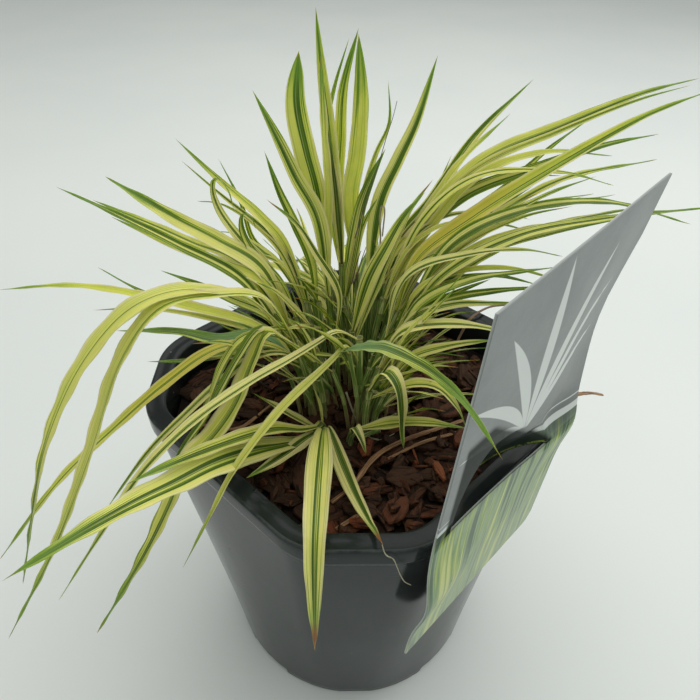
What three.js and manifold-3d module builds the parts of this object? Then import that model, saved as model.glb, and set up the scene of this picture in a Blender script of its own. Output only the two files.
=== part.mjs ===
// Japanese forest grass in a square-mouthed nursery pot, with a plant label hung on the rim.
// Millimetres, +Z up. The origin is the middle of the pot's flat underside.
import * as THREE from 'three';
import { mergeVertices } from 'three/addons/utils/BufferGeometryUtils.js';
import Module from 'manifold-3d';

const wasm = await Module();
wasm.setup();

// Pot
const MOUTH = 150;
const POT_HEIGHT = 153;
const FOOT_RADIUS = 60.8;
const CORNER_CUT = 30;
const CORNER_RADIUS = 26;
const POT_TURN = 46.5;
const COLLAR_DEPTH = 8.3;
const WALL = 2;
const FLANGE_WIDTH = 8;
const NOTCH = { width: 25, height: 4.5, depth: 9 };

// Filling
const GAP = 0.3;
const MIX_TOP = 134;
const BARK_TOP = 138.6;
const SOIL = 140;
const CHIP_COUNT = 96;
const HOLE_RADIUS = 2.6;

// Blades and culms
const BLADE_THICKNESS = 0.9;
const BLADE_STATION = 19;
const CULM_FOOT_RADIUS = 1.5;
const CULM_TIP_RADIUS = 1.0;
const CULM_DEPTH = 5.7;

// Label
const LABEL = { width: 87, height: 165, thickness: 0.8, turn: 317, lean: 4, corner: 12 };
const LABEL_MIDDLE = { along: -5, out: 77.8, up: 170.1 };
const TONGUE = { width: 54, height: 36, along: -2, low: -15, swing: 9.5 };

// Shoots, as they stand in the pot. Each row holds a name, the root's x and y, the culm's heading, reach
// and height, then its blades. A blade holds a heading, a width, a turn of its face about its own line,
// and pairs of reach and height along it. Headings run from +X towards +Y, and heights start at the soil.
const SHOOTS = [
  ['back_1', [-11, 15], [150, 2, 58],
    [150, 9, -60, 7, 87, 11, 101, 14, 117, 12, 134],
    [190, 4.5, -50, 1.5, 91, 2.5, 109, 3, 124, 3, 134]],
  ['back_2', [-6, 18], [150, 1, 56],
    [165, 6, -70, 4, 88, 6, 109, 8, 126, 10, 147]],
  ['back_3', [-4, 22], [180, 3, 52],
    [180, 5.5, -80, 5, 84, 4, 105, 3, 122, -2, 141],
    [180, 4.5, -80, 8, 80, 9, 106, 6, 122, 1, 138]],
  ['back_4', [2, 18], [180, 3, 52],
    [180, 7, -85, 6, 85, 4, 100, 3, 120, 4, 140]],
  ['back_5', [-2, 13], [180, 4, 44],
    [0, 6, 80, 0, 72, 2, 84, 6, 96, 10, 105],
    [10, 3.5, 70, 3, 88, 7, 103, 11, 113, 10, 127]],
  ['back_6', [3, 14], [60, 1, 46],
    [30, 8, 55, 4, 84, 11, 98, 18, 111, 25, 132]],
  ['back_7', [-10, 9], [160, 2, 46],
    [160, 6.5, -60, 6, 80, 14, 94, 20, 106, 29, 122]],
  ['back_8', [-15, 9], [158, 2, 42],
    [158, 5.5, -55, 4, 62, 10, 76, 16, 88, 21, 102]],
  ['back_9', [-8, 3], [165, 1, 34],
    [165, 5, -50, 0, 52, 9, 68, 16, 79, 27, 87]],
  ['middle_1', [1, 5], [210, 4, 34],
    [30, 10, 50, 3.1, 56.3, 10, 68, 18, 80, 26, 87],
    [45, 4, 40, 12, 58, 20, 70, 26, 78, 38, 86]],
  ['left_1', [-17, 12], [150, 5, 40],
    [150, 6.5, -35, 15.1, 64, 26, 73, 44, 83, 65, 96],
    [150, 3.5, -30, 17, 60, 30, 69, 45, 73, 58, 71]],
  ['left_2', [-14.8, 15.8], [150, 8.5, 34],
    [150, 4, -40, 21.5, 51, 33.5, 58, 38.5, 74, 47.5, 90]],
  ['left_3', [-15, 4.7], [155, 11.5, 36],
    [155, 8, -35, 25.5, 58, 35.5, 66, 43.5, 76, 45.5, 84, 43.5, 89, 38.5, 86, 36.5, 78]],
  ['left_4', [-17.3, 2.3], [160, 11, 30],
    [160, 9, -30, 22, 58, 40, 66.5, 59, 73, 87, 85],
    [155, 6.5, -25, 33, 56.5, 54, 60, 71, 63, 105, 68]],
  ['left_5', [-20.1, -0.8], [168, 10, 28],
    [168, 7.5, -30, 24.8, 56.1, 50, 68.5, 79, 80.5, 95, 86.5],
    [170, 6, -30, 16.9, 47.7, 25, 55]],
  ['left_6', [-16.5, -4.1], [178, 8.5, 22],
    [178, 7, -30, 21.3, 39.5, 45.5, 48, 88.5, 56, 120.5, 53],
    [170, 5, -20, 41.5, 42, 67.5, 47, 86.5, 57]],
  ['front_left_1', [-18.2, -11.8], [203, 6, 42],
    [212, 9.5, -12, 24, 67, 44, 77, 60, 76, 77, 63, 95, 37, 108, 7, 120, -24],
    [216, 8.5, -8, 17.9, 66, 35.9, 74, 52.9, 76, 66.9, 64, 85.9, 30, 105.9, -4, 130.9, -38]],
  ['front_left_2', [-20, -7.2], [190, 6, 30],
    [195, 7.5, -25, 16.4, 42.1, 33, 43, 47, 49, 67, 53],
    [193, 4.5, -20, 13.4, 35.5, 28, 35, 45, 34, 60, 36]],
  ['front_left_3', [-14.7, -6.8], [204, 7, 28],
    [207, 6.5, -20, 22, 42, 40, 46, 60, 37, 80, 24, 102, 8, 132, -23]],
  ['front_left_4', [-13, -13], [220, 5, 34],
    [218.5, 9.5, -5, 16, 48, 24, 56, 30, 47.5, 39.5, 31, 49.5, 21.5, 57.5, 17, 63, 11.5, 70, -1, 80,
      -16, 93, -32, 108, -49],
    [213, 8.5, -12, 16, 47, 25, 56, 34, 47.5, 42, 36.5, 50, 26, 58, 17.5, 64.5, 8, 72, -6]],
  ['front_left_5', [1, -15], [218, 1, 45],
    [218, 8, -15, 12, 52.5, 19, 51.5, 31, 49.5, 44, 48, 56.5, 45.5, 64, 43.5, 74, 39.5, 88.5, 30.5,
      103.5, 15, 124, -7]],
  ['front_low_1', [-13, -21], [222, 2, 7],
    [228, 12, -18, 11, 5, 22, 10.5, 36, 18.5, 52, 25, 67, 28, 80, 31, 94, 33, 106, 34, 120, 35],
    [225, 7.5, -15, 11, 10, 24, 19.5, 36, 24.5, 47, 28, 58, 31, 69, 33.5, 81, 35.5],
    [236, 6.5, -15, 13, 7, 24, 9, 34, 12, 45, 16],
    [270, 12, 0, 10, 12, 28, 20, 50, 23, 66, 20, 75, 6, 80, -18],
    [288, 7, 5, 5, 8, 22, 7, 37, 7.5, 54, 12, 60, 15, 68, 18],
    [196, 5, 0, 2.5, 19, 4.5, 29, 6, 38],
    [200, 5, -10, 12, 13, 20, 22, 27, 30]],
  ['right_1', [6, 15], [30, 4, 48],
    [30, 7, 40, 11, 66, 24, 78, 42, 101, 67, 119],
    [40, 3.5, 30, 18, 65, 28, 75, 38, 93]],
  ['right_2', [8.6, 10.4], [23, 5.5, 46],
    [22, 7.5, 50, 15.5, 75, 37.5, 96, 71.5, 106, 105.5, 114, 132.5, 117],
    [25, 7, 30, 31.5, 70, 51.5, 82, 69.5, 95, 89.5, 106]],
  ['right_3', [5.6, 2.2], [8, 9.5, 44],
    [8, 9, 35, 15.5, 66.8, 34.5, 83, 61.5, 101, 89.5, 117, 111.5, 125]],
  ['right_4', [4.6, 7.3], [17, 5.5, 46],
    [17, 6.5, 50, 22, 74.5, 39.5, 93.5, 64.5, 99.5, 95.5, 95],
    [13, 6, 30, 19.5, 80, 37.5, 94, 69.5, 93.5, 94.5, 86]],
  ['right_5', [7.8, 5.3], [18, 8.5, 40],
    [18, 5.5, 30, 20.4, 62.9, 38.5, 73, 69.5, 88, 113.5, 92],
    [14, 4, 30, 33.5, 70, 60.5, 82, 83.5, 84]],
  ['right_6', [7, -2.6], [6, 9, 38],
    [6, 6.5, 30, 24.9, 74.9, 46, 87, 78, 90, 114, 80]],
  ['right_7', [9, -7], [0, 7, 32],
    [1, 6.5, 30, 18.3, 63.7, 44, 82, 72, 89, 110, 94],
    [12, 6, 30, 19.9, 57.5, 33.9, 68, 51.9, 77]],
  ['right_8', [3, -7.5], [353, 7, 36],
    [353, 7, 30, 14.2, 68.4, 33, 78, 52, 81.5, 65, 80]],
  ['right_9', [6, -11.8], [357, 7, 28],
    [357, 6.5, 30, 15.6, 57.8, 32, 69, 48, 73, 62, 76]],
  ['right_10', [3.5, -16.8], [351, 4.5, 32],
    [352, 7, 15, 11.9, 49.8, 25.5, 55, 42.5, 55, 55.5, 50.5],
    [356, 5, 15, 13, 46, 21, 57, 29.5, 70]],
  ['right_11', [6, -20.1], [353, 5, 25],
    [353, 6.5, 20, 12.8, 40.2, 26, 47.5, 43, 52.5],
    [337, 3, 20, 9.9, 50, 17.9, 65, 27.9, 82]],
  ['front_right_1', [-12, -5], [220, 4, 25],
    [290, 8.5, 15, 9, 34, 26, 50, 52, 70, 66, 78, 83, 86, 96, 90, 105, 91, 117, 90]],
  ['front_right_2', [3, -22], [315, 2, 26],
    [308, 7, 0, 12, 42, 17, 40, 20, 31, 21, 21, 23, 12],
    [335, 5, 10, 20, 36, 28, 37, 36, 30, 40, 22]],
  ['front_right_3', [-3, -27], [346, 2, 9],
    [346, 6.5, 10, 16, 16, 30, 20, 44, 21],
    [300, 4.5, 0, 5, 14, 9, 12, 13, 7]],
  ['rear_1', [-3, 28], [95, 2, 22],
    [95, 6.5, 10, 10, 34, 28, 39, 48, 32, 64, 12, 70, -16],
    [75, 6, -8, 14, 31, 32, 36, 50, 30, 66, 12]],
  ['rear_2', [5, 25], [70, 2, 22],
    [62, 6.5, 10, 12, 32, 30, 36, 54, 28, 74, 4],
    [46, 5.5, 8, 14, 31, 34, 36, 56, 30, 72, 23]],
  ['rear_3', [-11, 25], [115, 2, 22],
    [112, 6.5, -10, 12, 32, 30, 35, 52, 24, 68, -2],
    [138, 5.5, -8, 12, 32, 28, 36, 46, 33, 60, 26]],
];

// Loose dead stalks and leaves on the bark and the rim: a width, then points of x, y and height above
// the soil.
const STRAWS = [
  ['straw_1', 2.2, [[-9, -58, 3.2], [-2, -51, 3.6], [7, -37, 4.2], [17, -29, 4.2], [43, -16, 3.6]]],
  ['straw_2', 1.8, [[-7, -69, 2.8], [2, -62, 3]]],
  ['straw_3', 1.8, [[-62, -20, 2.8], [-48, -22, 3], [-36, -8, 2.8]]],
  ['straw_4', 1.6, [[12, -36.5, 2.8], [24, -29, 3.1], [44, -20.5, 2.8]]],
  ['dry_stalk', 2.2, [[62, -27, 14.5], [75, -20, 15], [86, -12, 14.2], [97, -3, 8], [107, 5, 0]]],
  ['dry_leaf', 3, [[46, 34, 3.4], [52, 40, 13.7], [57, 45, 14.8], [64, 50, 14.8], [73, 54, 13.2]]],
];

const COLOURS = {
  pot: new THREE.MeshStandardMaterial({ color: 0x39403e, roughness: 0.32, metalness: 0 }),
  mix: new THREE.MeshStandardMaterial({ color: 0x2a1c15, roughness: 0.95, metalness: 0 }),
  bark: new THREE.MeshStandardMaterial({ color: 0x6b3a24, roughness: 0.9, metalness: 0 }),
  grass: new THREE.MeshStandardMaterial({ color: 0x9fae3f, roughness: 0.5, metalness: 0 }),
  straw: new THREE.MeshStandardMaterial({ color: 0x9a7448, roughness: 0.8, metalness: 0 }),
  label: new THREE.MeshStandardMaterial({ color: 0x8d9290, roughness: 0.3, metalness: 0 }),
};

const radians = THREE.MathUtils.degToRad;

// A repeatable stream of numbers from 0 to 1.
function makeRandom(seed) {
  let state = seed;
  return () => {
    state = (state * 1664525 + 1013904223) % 4294967296;
    return state / 4294967296;
  };
}

// The closed body through rings of the same number of points. A ring of one point ends it in a fan.
function loft(rings) {
  const positions = [];
  const index = [];
  const starts = rings.map((ring) => {
    const start = positions.length / 3;
    ring.forEach((point) => positions.push(point.x, point.y, point.z));
    return start;
  });
  for (let r = 0; r < rings.length - 1; r += 1) {
    const [low, high] = [rings[r], rings[r + 1]];
    const count = Math.max(low.length, high.length);
    for (let i = 0; i < count; i += 1) {
      const next = (i + 1) % count;
      const [a, b] = [starts[r] + (i % low.length), starts[r] + (next % low.length)];
      const [c, d] = [starts[r + 1] + (i % high.length), starts[r + 1] + (next % high.length)];
      if (low.length > 1) index.push(a, b, high.length > 1 ? d : c);
      if (high.length > 1) index.push(a, d, c);
    }
  }
  const first = rings[0].length;
  for (let i = 1; first > 1 && i < first - 1; i += 1) index.push(starts[0], starts[0] + i + 1, starts[0] + i);
  const last = rings[rings.length - 1].length;
  const end = starts[rings.length - 1];
  for (let i = 1; last > 1 && i < last - 1; i += 1) index.push(end, end + i, end + i + 1);
  const geometry = new THREE.BufferGeometry();
  geometry.setAttribute('position', new THREE.Float32BufferAttribute(positions, 3));
  geometry.setIndex(index);
  return geometry;
}

function signedVolume(vertices, triangles) {
  const corner = (i) => new THREE.Vector3().fromArray(vertices, triangles[i] * 3);
  let sum = 0;
  for (let i = 0; i < triangles.length; i += 3) {
    sum += corner(i).dot(corner(i + 1).cross(corner(i + 2)));
  }
  return sum;
}

// The solid of a closed geometry, with its faces turned to point out.
function solidOf(geometry) {
  const bare = geometry.clone();
  bare.deleteAttribute('normal');
  bare.deleteAttribute('uv');
  const merged = mergeVertices(bare, 1e-4);
  const vertProperties = new Float32Array(merged.attributes.position.array);
  const triVerts = new Uint32Array(merged.index.array);
  if (signedVolume(vertProperties, triVerts) < 0) {
    for (let i = 0; i < triVerts.length; i += 3) {
      [triVerts[i + 1], triVerts[i + 2]] = [triVerts[i + 2], triVerts[i + 1]];
    }
  }
  return new wasm.Manifold(new wasm.Mesh({ numProp: 3, vertProperties, triVerts }));
}

function meshOf(name, solid, material) {
  const result = solid.getMesh();
  const geometry = new THREE.BufferGeometry();
  geometry.setAttribute('position', new THREE.Float32BufferAttribute(result.vertProperties, 3));
  geometry.setIndex(new THREE.BufferAttribute(result.triVerts, 1));
  geometry.computeVertexNormals();
  const mesh = new THREE.Mesh(geometry, material);
  mesh.name = name;
  return mesh;
}

// The mouth's outline: a square with cut corners, every bend rounded, drawn inset from the lip.
function mouthOutline(inset) {
  const half = MOUTH / 2;
  const steps = 4;
  const reach = CORNER_RADIUS * Math.tan(Math.PI / 8);
  const straight = half - CORNER_CUT - reach;
  const points = [];
  for (let side = 0; side < 4; side += 1) {
    const turn = (side * Math.PI) / 2;
    [-0.5, 0, 0.5].forEach((along) => {
      points.push(new THREE.Vector2(half - inset, along * straight).rotateAround(new THREE.Vector2(), turn));
    });
    const ends = [[half, half - CORNER_CUT, 0], [half - CORNER_CUT, half, Math.PI / 4]];
    ends.forEach(([x, y, start]) => {
      const centre = start === 0
        ? [x - CORNER_RADIUS, y - reach]
        : [x - reach, y - CORNER_RADIUS];
      for (let s = 0; s < steps; s += 1) {
        const angle = start + (Math.PI / 4) * (s / (steps - 1));
        const point = new THREE.Vector2(Math.cos(angle), Math.sin(angle));
        point.multiplyScalar(CORNER_RADIUS - inset).add(new THREE.Vector2(...centre));
        points.push(point.rotateAround(new THREE.Vector2(), turn));
      }
    });
  }
  return points.map((point) => point.rotateAround(new THREE.Vector2(), radians(POT_TURN)));
}

// A level ring of the mouth's own shape.
function mouthRing(z, inset) {
  return mouthOutline(inset).map((point) => new THREE.Vector3(point.x, point.y, z));
}

const COLLAR_LOW = POT_HEIGHT - COLLAR_DEPTH;
const WALL_INSET = 1.8;
const THROAT_INSET = FLANGE_WIDTH + GAP;
const THROAT_LOW = 130;

// A level ring of the sloping wall: round at the foot, the mouth's shape under the collar.
function wallRing(z, depth) {
  const share = z / COLLAR_LOW;
  return mouthOutline(WALL_INSET + depth).map((point) => {
    const mixed = point.clone().setLength(FOOT_RADIUS - depth).lerp(point, share);
    return new THREE.Vector3(mixed.x, mixed.y, z);
  });
}

function makePot() {
  const shell = solidOf(loft([
    [new THREE.Vector3(0, 0, 0)],
    wallRing(0, 1.2),
    wallRing(1.2, 0),
    wallRing(COLLAR_LOW - 0.6, 0),
    mouthRing(COLLAR_LOW, 0.6),
    mouthRing(POT_HEIGHT - 1.2, 0),
    mouthRing(POT_HEIGHT - 0.3, 0.3),
    mouthRing(POT_HEIGHT, 1.1),
    mouthRing(POT_HEIGHT - 0.4, FLANGE_WIDTH - 0.4),
    mouthRing(POT_HEIGHT - 1.2, FLANGE_WIDTH),
    mouthRing(THROAT_LOW + 5, THROAT_INSET),
    wallRing(THROAT_LOW, WALL),
    wallRing(WALL, WALL),
    [new THREE.Vector3(0, 0, WALL)],
  ]));
  const notches = [0, 1, 2, 3].map((side) => {
    const notch = new THREE.BoxGeometry(NOTCH.depth, NOTCH.width, NOTCH.height * 2);
    notch.translate(FOOT_RADIUS - NOTCH.depth / 2 + 2, 0, 0);
    notch.rotateZ(radians(POT_TURN + 90 * side));
    return solidOf(notch);
  });
  return meshOf('pot', notches.reduce((pot, notch) => pot.subtract(notch), shell), COLOURS.pot);
}

// Plain round holes for the culms, down to a depth below the soil line.
function culmHoles(low) {
  return SHOOTS.map(([, [x, y]]) => {
    const hole = new THREE.CylinderGeometry(HOLE_RADIUS, HOLE_RADIUS, 40, 6);
    hole.rotateX(Math.PI / 2);
    hole.translate(x, y, low + 20);
    return solidOf(hole);
  });
}

function makeMix() {
  const clear = WALL + GAP;
  const body = solidOf(loft([
    wallRing(WALL + GAP, clear + 0.3),
    wallRing(THROAT_LOW, THROAT_INSET - 1),
    mouthRing(MIX_TOP, THROAT_INSET + 0.5),
  ]));
  return meshOf('potting_mix', body, COLOURS.mix);
}

// Bark chips: flat blocks in rings round the middle, each sunk into the layer that they cover.
function makeBark() {
  const random = makeRandom(7);
  const layer = solidOf(loft([
    mouthRing(MIX_TOP + GAP, THROAT_INSET + 0.5),
    mouthRing(BARK_TOP, THROAT_INSET + 0.5),
  ]));
  const rim = mouthOutline(THROAT_INSET);
  const golden = Math.PI * (3 - Math.sqrt(5));
  const chips = [];
  for (let i = 0; i < CHIP_COUNT; i += 1) {
    const angle = i * golden + random() * 0.3;
    const edge = rim.reduce((near, point) => {
      const off = Math.abs(Math.atan2(Math.sin(point.angle() - angle), Math.cos(point.angle() - angle)));
      return off < near.off ? { off, length: point.length() } : near;
    }, { off: Infinity, length: 0 }).length;
    const out = (edge - 4) * Math.sqrt((i + 0.5) / CHIP_COUNT);
    const size = [11 + 8 * random(), 6 + 4 * random(), 4.4];
    const chip = new THREE.BoxGeometry(...size);
    chip.rotateX((random() - 0.5) * 0.3);
    chip.rotateY((random() - 0.5) * 0.24);
    chip.rotateZ(random() * Math.PI);
    chip.translate(out * Math.cos(angle), out * Math.sin(angle), BARK_TOP + 0.3 * random());
    chips.push(solidOf(chip));
  }
  const throat = solidOf(loft([
    mouthRing(MIX_TOP, THROAT_INSET + 0.5),
    mouthRing(POT_HEIGHT, THROAT_INSET + 0.5),
  ]));
  const mound = wasm.Manifold.union([layer, ...chips]).intersect(throat);
  const pieces = mound.subtract(wasm.Manifold.union(culmHoles(MIX_TOP))).decompose();
  const [whole] = pieces.sort((one, other) => other.volume() - one.volume());
  return meshOf('bark_mulch', whole, COLOURS.bark);
}

// A point at a heading, reach and height from a root.
function reachPoint([x, y], heading, out, up) {
  const angle = radians(heading);
  return new THREE.Vector3(x + out * Math.cos(angle), y + out * Math.sin(angle), SOIL + up);
}

function culmCurve(root, [heading, out, up]) {
  return new THREE.CatmullRomCurve3([
    new THREE.Vector3(root[0], root[1], SOIL - CULM_DEPTH),
    reachPoint(root, heading, out * 0.3, up * 0.5),
    reachPoint(root, heading, out, up),
  ], false, 'centripetal');
}

function culmSolid(curve) {
  const sides = 5;
  const steps = 3;
  const rings = [];
  for (let s = 0; s <= steps; s += 1) {
    const centre = curve.getPointAt(s / steps);
    const radius = THREE.MathUtils.lerp(CULM_FOOT_RADIUS, CULM_TIP_RADIUS, s / steps);
    rings.push(Array.from({ length: sides }, (_, i) => {
      const angle = (2 * Math.PI * i) / sides;
      return new THREE.Vector3(radius * Math.cos(angle), radius * Math.sin(angle), 0).add(centre);
    }));
  }
  return solidOf(loft(rings));
}

// The width of a blade along its length: a narrow neck, full by a third, then a long taper.
function bladeShare(t) {
  const rise = 0.3 + 0.7 * THREE.MathUtils.smoothstep(t, 0, 0.3);
  return rise * (1 - t ** 3) ** 1.1;
}

// One blade: a shallow keeled section swept along its line to a point.
function bladeSolid(root, start, [heading, width, turn, ...pairs]) {
  const points = [start];
  for (let i = 0; i < pairs.length; i += 2) points.push(reachPoint(root, heading, pairs[i], pairs[i + 1]));
  const curve = new THREE.CatmullRomCurve3(points, false, 'centripetal');
  const steps = THREE.MathUtils.clamp(Math.round(curve.getLength() / BLADE_STATION), 4, 9);
  const angle = radians(heading);
  const level = new THREE.Vector3(-Math.sin(angle), Math.cos(angle), 0);
  const rings = [];
  for (let s = 0; s < steps; s += 1) {
    const t = s / steps;
    const centre = curve.getPointAt(t);
    const tangent = curve.getTangentAt(t);
    const side = level.clone().applyAxisAngle(tangent, radians(turn));
    const face = tangent.clone().cross(side).normalize();
    const half = (width / 2) * bladeShare(t);
    const keel = Math.min(half * 0.3, 1);
    rings.push([
      centre.clone().addScaledVector(side, half).addScaledVector(face, keel),
      centre.clone().addScaledVector(face, BLADE_THICKNESS / 2),
      centre.clone().addScaledVector(side, -half).addScaledVector(face, keel),
      centre.clone().addScaledVector(face, -BLADE_THICKNESS / 2),
    ]);
  }
  rings.push([curve.getPointAt(1)]);
  return solidOf(loft(rings));
}

function makeShoot([name, root, culm, ...blades]) {
  const curve = culmCurve(root, culm);
  const solids = blades.map((blade, i) => {
    const start = curve.getPointAt(Math.max(0.97 - 0.13 * i, 0.5));
    return bladeSolid(root, start, blade);
  });
  const joined = wasm.Manifold.union([culmSolid(curve), ...solids]);
  return meshOf(`shoot_${name}`, joined, COLOURS.grass);
}

function makeStraw([name, width, places]) {
  const curve = new THREE.CatmullRomCurve3(places.map(([x, y, up]) => new THREE.Vector3(x, y, SOIL + up)));
  const half = width / 2;
  const section = new THREE.Shape([
    new THREE.Vector2(-half, 0), new THREE.Vector2(0, -half / 2),
    new THREE.Vector2(half, 0), new THREE.Vector2(0, half / 2),
  ]);
  const tube = new THREE.ExtrudeGeometry(section, { steps: 6, extrudePath: curve });
  return meshOf(name, solidOf(tube), COLOURS.straw);
}

// A point of the label, from its place across the card, up it, and out of its face.
function labelPoint(across, up, out) {
  const angle = radians(LABEL.turn);
  const lean = radians(LABEL.lean);
  const side = new THREE.Vector3(-Math.sin(angle), Math.cos(angle), 0);
  const level = new THREE.Vector3(Math.cos(angle), Math.sin(angle), 0);
  const rise = new THREE.Vector3(0, 0, Math.cos(lean)).addScaledVector(level, Math.sin(lean));
  const face = level.clone().multiplyScalar(Math.cos(lean)).add(new THREE.Vector3(0, 0, -Math.sin(lean)));
  return new THREE.Vector3(0, 0, LABEL_MIDDLE.up)
    .addScaledVector(level, LABEL_MIDDLE.out)
    .addScaledVector(side, LABEL_MIDDLE.along + across)
    .addScaledVector(rise, up)
    .addScaledVector(face, out);
}

// A sheet of the label's thickness over flat points, some pushed in behind the card's face.
function labelSheet(points, triangles, pushes) {
  const count = points.length;
  const positions = [];
  [0, -LABEL.thickness].forEach((out) => {
    points.forEach(([across, up], i) => positions.push(...labelPoint(across, up, out - pushes[i]).toArray()));
  });
  const sides = new Map();
  const index = [];
  triangles.forEach(([a, b, c]) => {
    index.push(a, b, c, count + a, count + c, count + b);
    [[a, b], [b, c], [c, a]].forEach(([i, j]) => {
      if (sides.has(`${j},${i}`)) sides.delete(`${j},${i}`);
      else sides.set(`${i},${j}`, [i, j]);
    });
  });
  sides.forEach(([i, j]) => index.push(i, count + i, count + j, i, count + j, j));
  const geometry = new THREE.BufferGeometry();
  geometry.setAttribute('position', new THREE.Float32BufferAttribute(positions, 3));
  geometry.setIndex(index);
  return solidOf(geometry);
}

// The label: a plastic card outside the rim. A cut across it opens above the rim, where the card over
// the cut bows in as a half-round tongue.
function makeLabel() {
  const [halfWidth, halfHeight] = [LABEL.width / 2, LABEL.height / 2];
  const arcSteps = 14;
  const rings = [1.03, 0.8, 0.55, 0.28];
  const { along, low } = TONGUE;
  const arc = (share) => Array.from({ length: arcSteps + 1 }, (_, i) => {
    const angle = (Math.PI * i) / arcSteps;
    return [
      along + (TONGUE.width / 2) * share * Math.cos(angle),
      low + TONGUE.height * share * Math.sin(angle),
    ];
  });
  const rim = arc(1);
  const bend = Array.from({ length: 5 }, (_, i) => {
    const angle = -Math.PI / 2 + (Math.PI / 2) * (i / 4);
    const middle = [halfWidth - LABEL.corner, -halfHeight + LABEL.corner];
    return [middle[0] + LABEL.corner * Math.cos(angle), middle[1] + LABEL.corner * Math.sin(angle)];
  });
  const outline = [[-halfWidth, -halfHeight], ...bend, [halfWidth, halfHeight], [-halfWidth, halfHeight]];
  const vectors = (points) => points.map(([x, y]) => new THREE.Vector2(x, y));
  const cardFaces = THREE.ShapeUtils.triangulateShape(vectors(outline), [vectors(rim)]);
  const cardPoints = [...outline, ...rim];
  const card = labelSheet(cardPoints, cardFaces, cardPoints.map(() => 0));
  const tonguePoints = rings.flatMap(arc);
  const tongueFaces = [];
  const row = arcSteps + 1;
  for (let r = 0; r < rings.length - 1; r += 1) {
    for (let i = 0; i < arcSteps; i += 1) {
      const [a, b] = [r * row + i, (r + 1) * row + i];
      tongueFaces.push([a, a + 1, b + 1], [a, b + 1, b]);
    }
  }
  const last = (rings.length - 1) * row;
  tonguePoints.push([along, low]);
  for (let i = 0; i < arcSteps; i += 1) tongueFaces.push([last + i, last + i + 1, tonguePoints.length - 1]);
  const pushes = [...rings, 0].flatMap((share, r) => {
    const push = TONGUE.swing * Math.max(1 - share ** 2, 0) ** 0.8;
    return Array.from({ length: r < rings.length ? row : 1 }, () => push);
  });
  const tongue = labelSheet(tonguePoints, tongueFaces, pushes);
  return meshOf('plant_label', card.add(tongue), COLOURS.label);
}

const plant = new THREE.Group();
plant.add(makePot(), makeMix(), makeBark(), makeLabel());
SHOOTS.forEach((row) => plant.add(makeShoot(row)));
STRAWS.forEach((row) => plant.add(makeStraw(row)));

export default plant;
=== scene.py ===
"""Japanese forest grass in a square-mouthed nursery pot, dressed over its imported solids.

Lengths are in metres where a name says nothing else, and the shoots' table is in millimetres, as they stand
in the pot. +Z is up, and the origin is the middle of the pot's flat underside.
"""

import logging
import math
from dataclasses import asdict, dataclass, field
from enum import Enum
from typing import Optional, Sequence, Union

import bmesh
import bpy
import numpy as np
from bpy.types import ID, Material, Node, NodeSocket, Object
from mathutils import Matrix
from numpy.random import Generator


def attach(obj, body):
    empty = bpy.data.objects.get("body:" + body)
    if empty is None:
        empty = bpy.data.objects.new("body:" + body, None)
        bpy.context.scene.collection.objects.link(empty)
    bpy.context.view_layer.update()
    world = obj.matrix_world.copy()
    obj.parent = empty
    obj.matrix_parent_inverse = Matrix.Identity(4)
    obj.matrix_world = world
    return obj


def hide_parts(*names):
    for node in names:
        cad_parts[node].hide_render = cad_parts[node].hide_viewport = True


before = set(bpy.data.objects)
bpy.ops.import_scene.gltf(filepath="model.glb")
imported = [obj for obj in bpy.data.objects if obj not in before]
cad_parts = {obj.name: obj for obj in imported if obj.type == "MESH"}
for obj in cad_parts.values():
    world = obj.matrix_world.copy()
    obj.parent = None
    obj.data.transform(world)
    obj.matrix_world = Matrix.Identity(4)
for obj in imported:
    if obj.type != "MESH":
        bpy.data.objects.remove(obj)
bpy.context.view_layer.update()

LOG = logging.getLogger("forest_grass")
BODY = "root"
MM = 0.001
SOIL = 140 * MM
Socket = Union[NodeSocket, float, Sequence[float]]
Array = np.ndarray
Values = Union[float, Array]
Faces = list[tuple[int, ...]]
Range = tuple[float, float]


class Marking(Enum):
    """How a leaf blade is striped. A row of the shoots' table names one letter for each blade."""

    GOLD = "g"
    STRIPED = "s"
    EDGED = "e"
    LINED = "l"
    BLUE = "b"
    AMBER = "a"

    @classmethod
    def common(cls, chance: Generator) -> "Marking":
        """One of the four common markings, at random."""
        return (cls.STRIPED, cls.LINED, cls.EDGED, cls.GOLD)[int(chance.integers(0, 4))]


class Lay(Enum):
    """How a row of bark chips lies."""

    BEDDED = "bedded"
    LOOSE = "loose"
    TIPPED = "tipped"
    SLIVER = "sliver"


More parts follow.
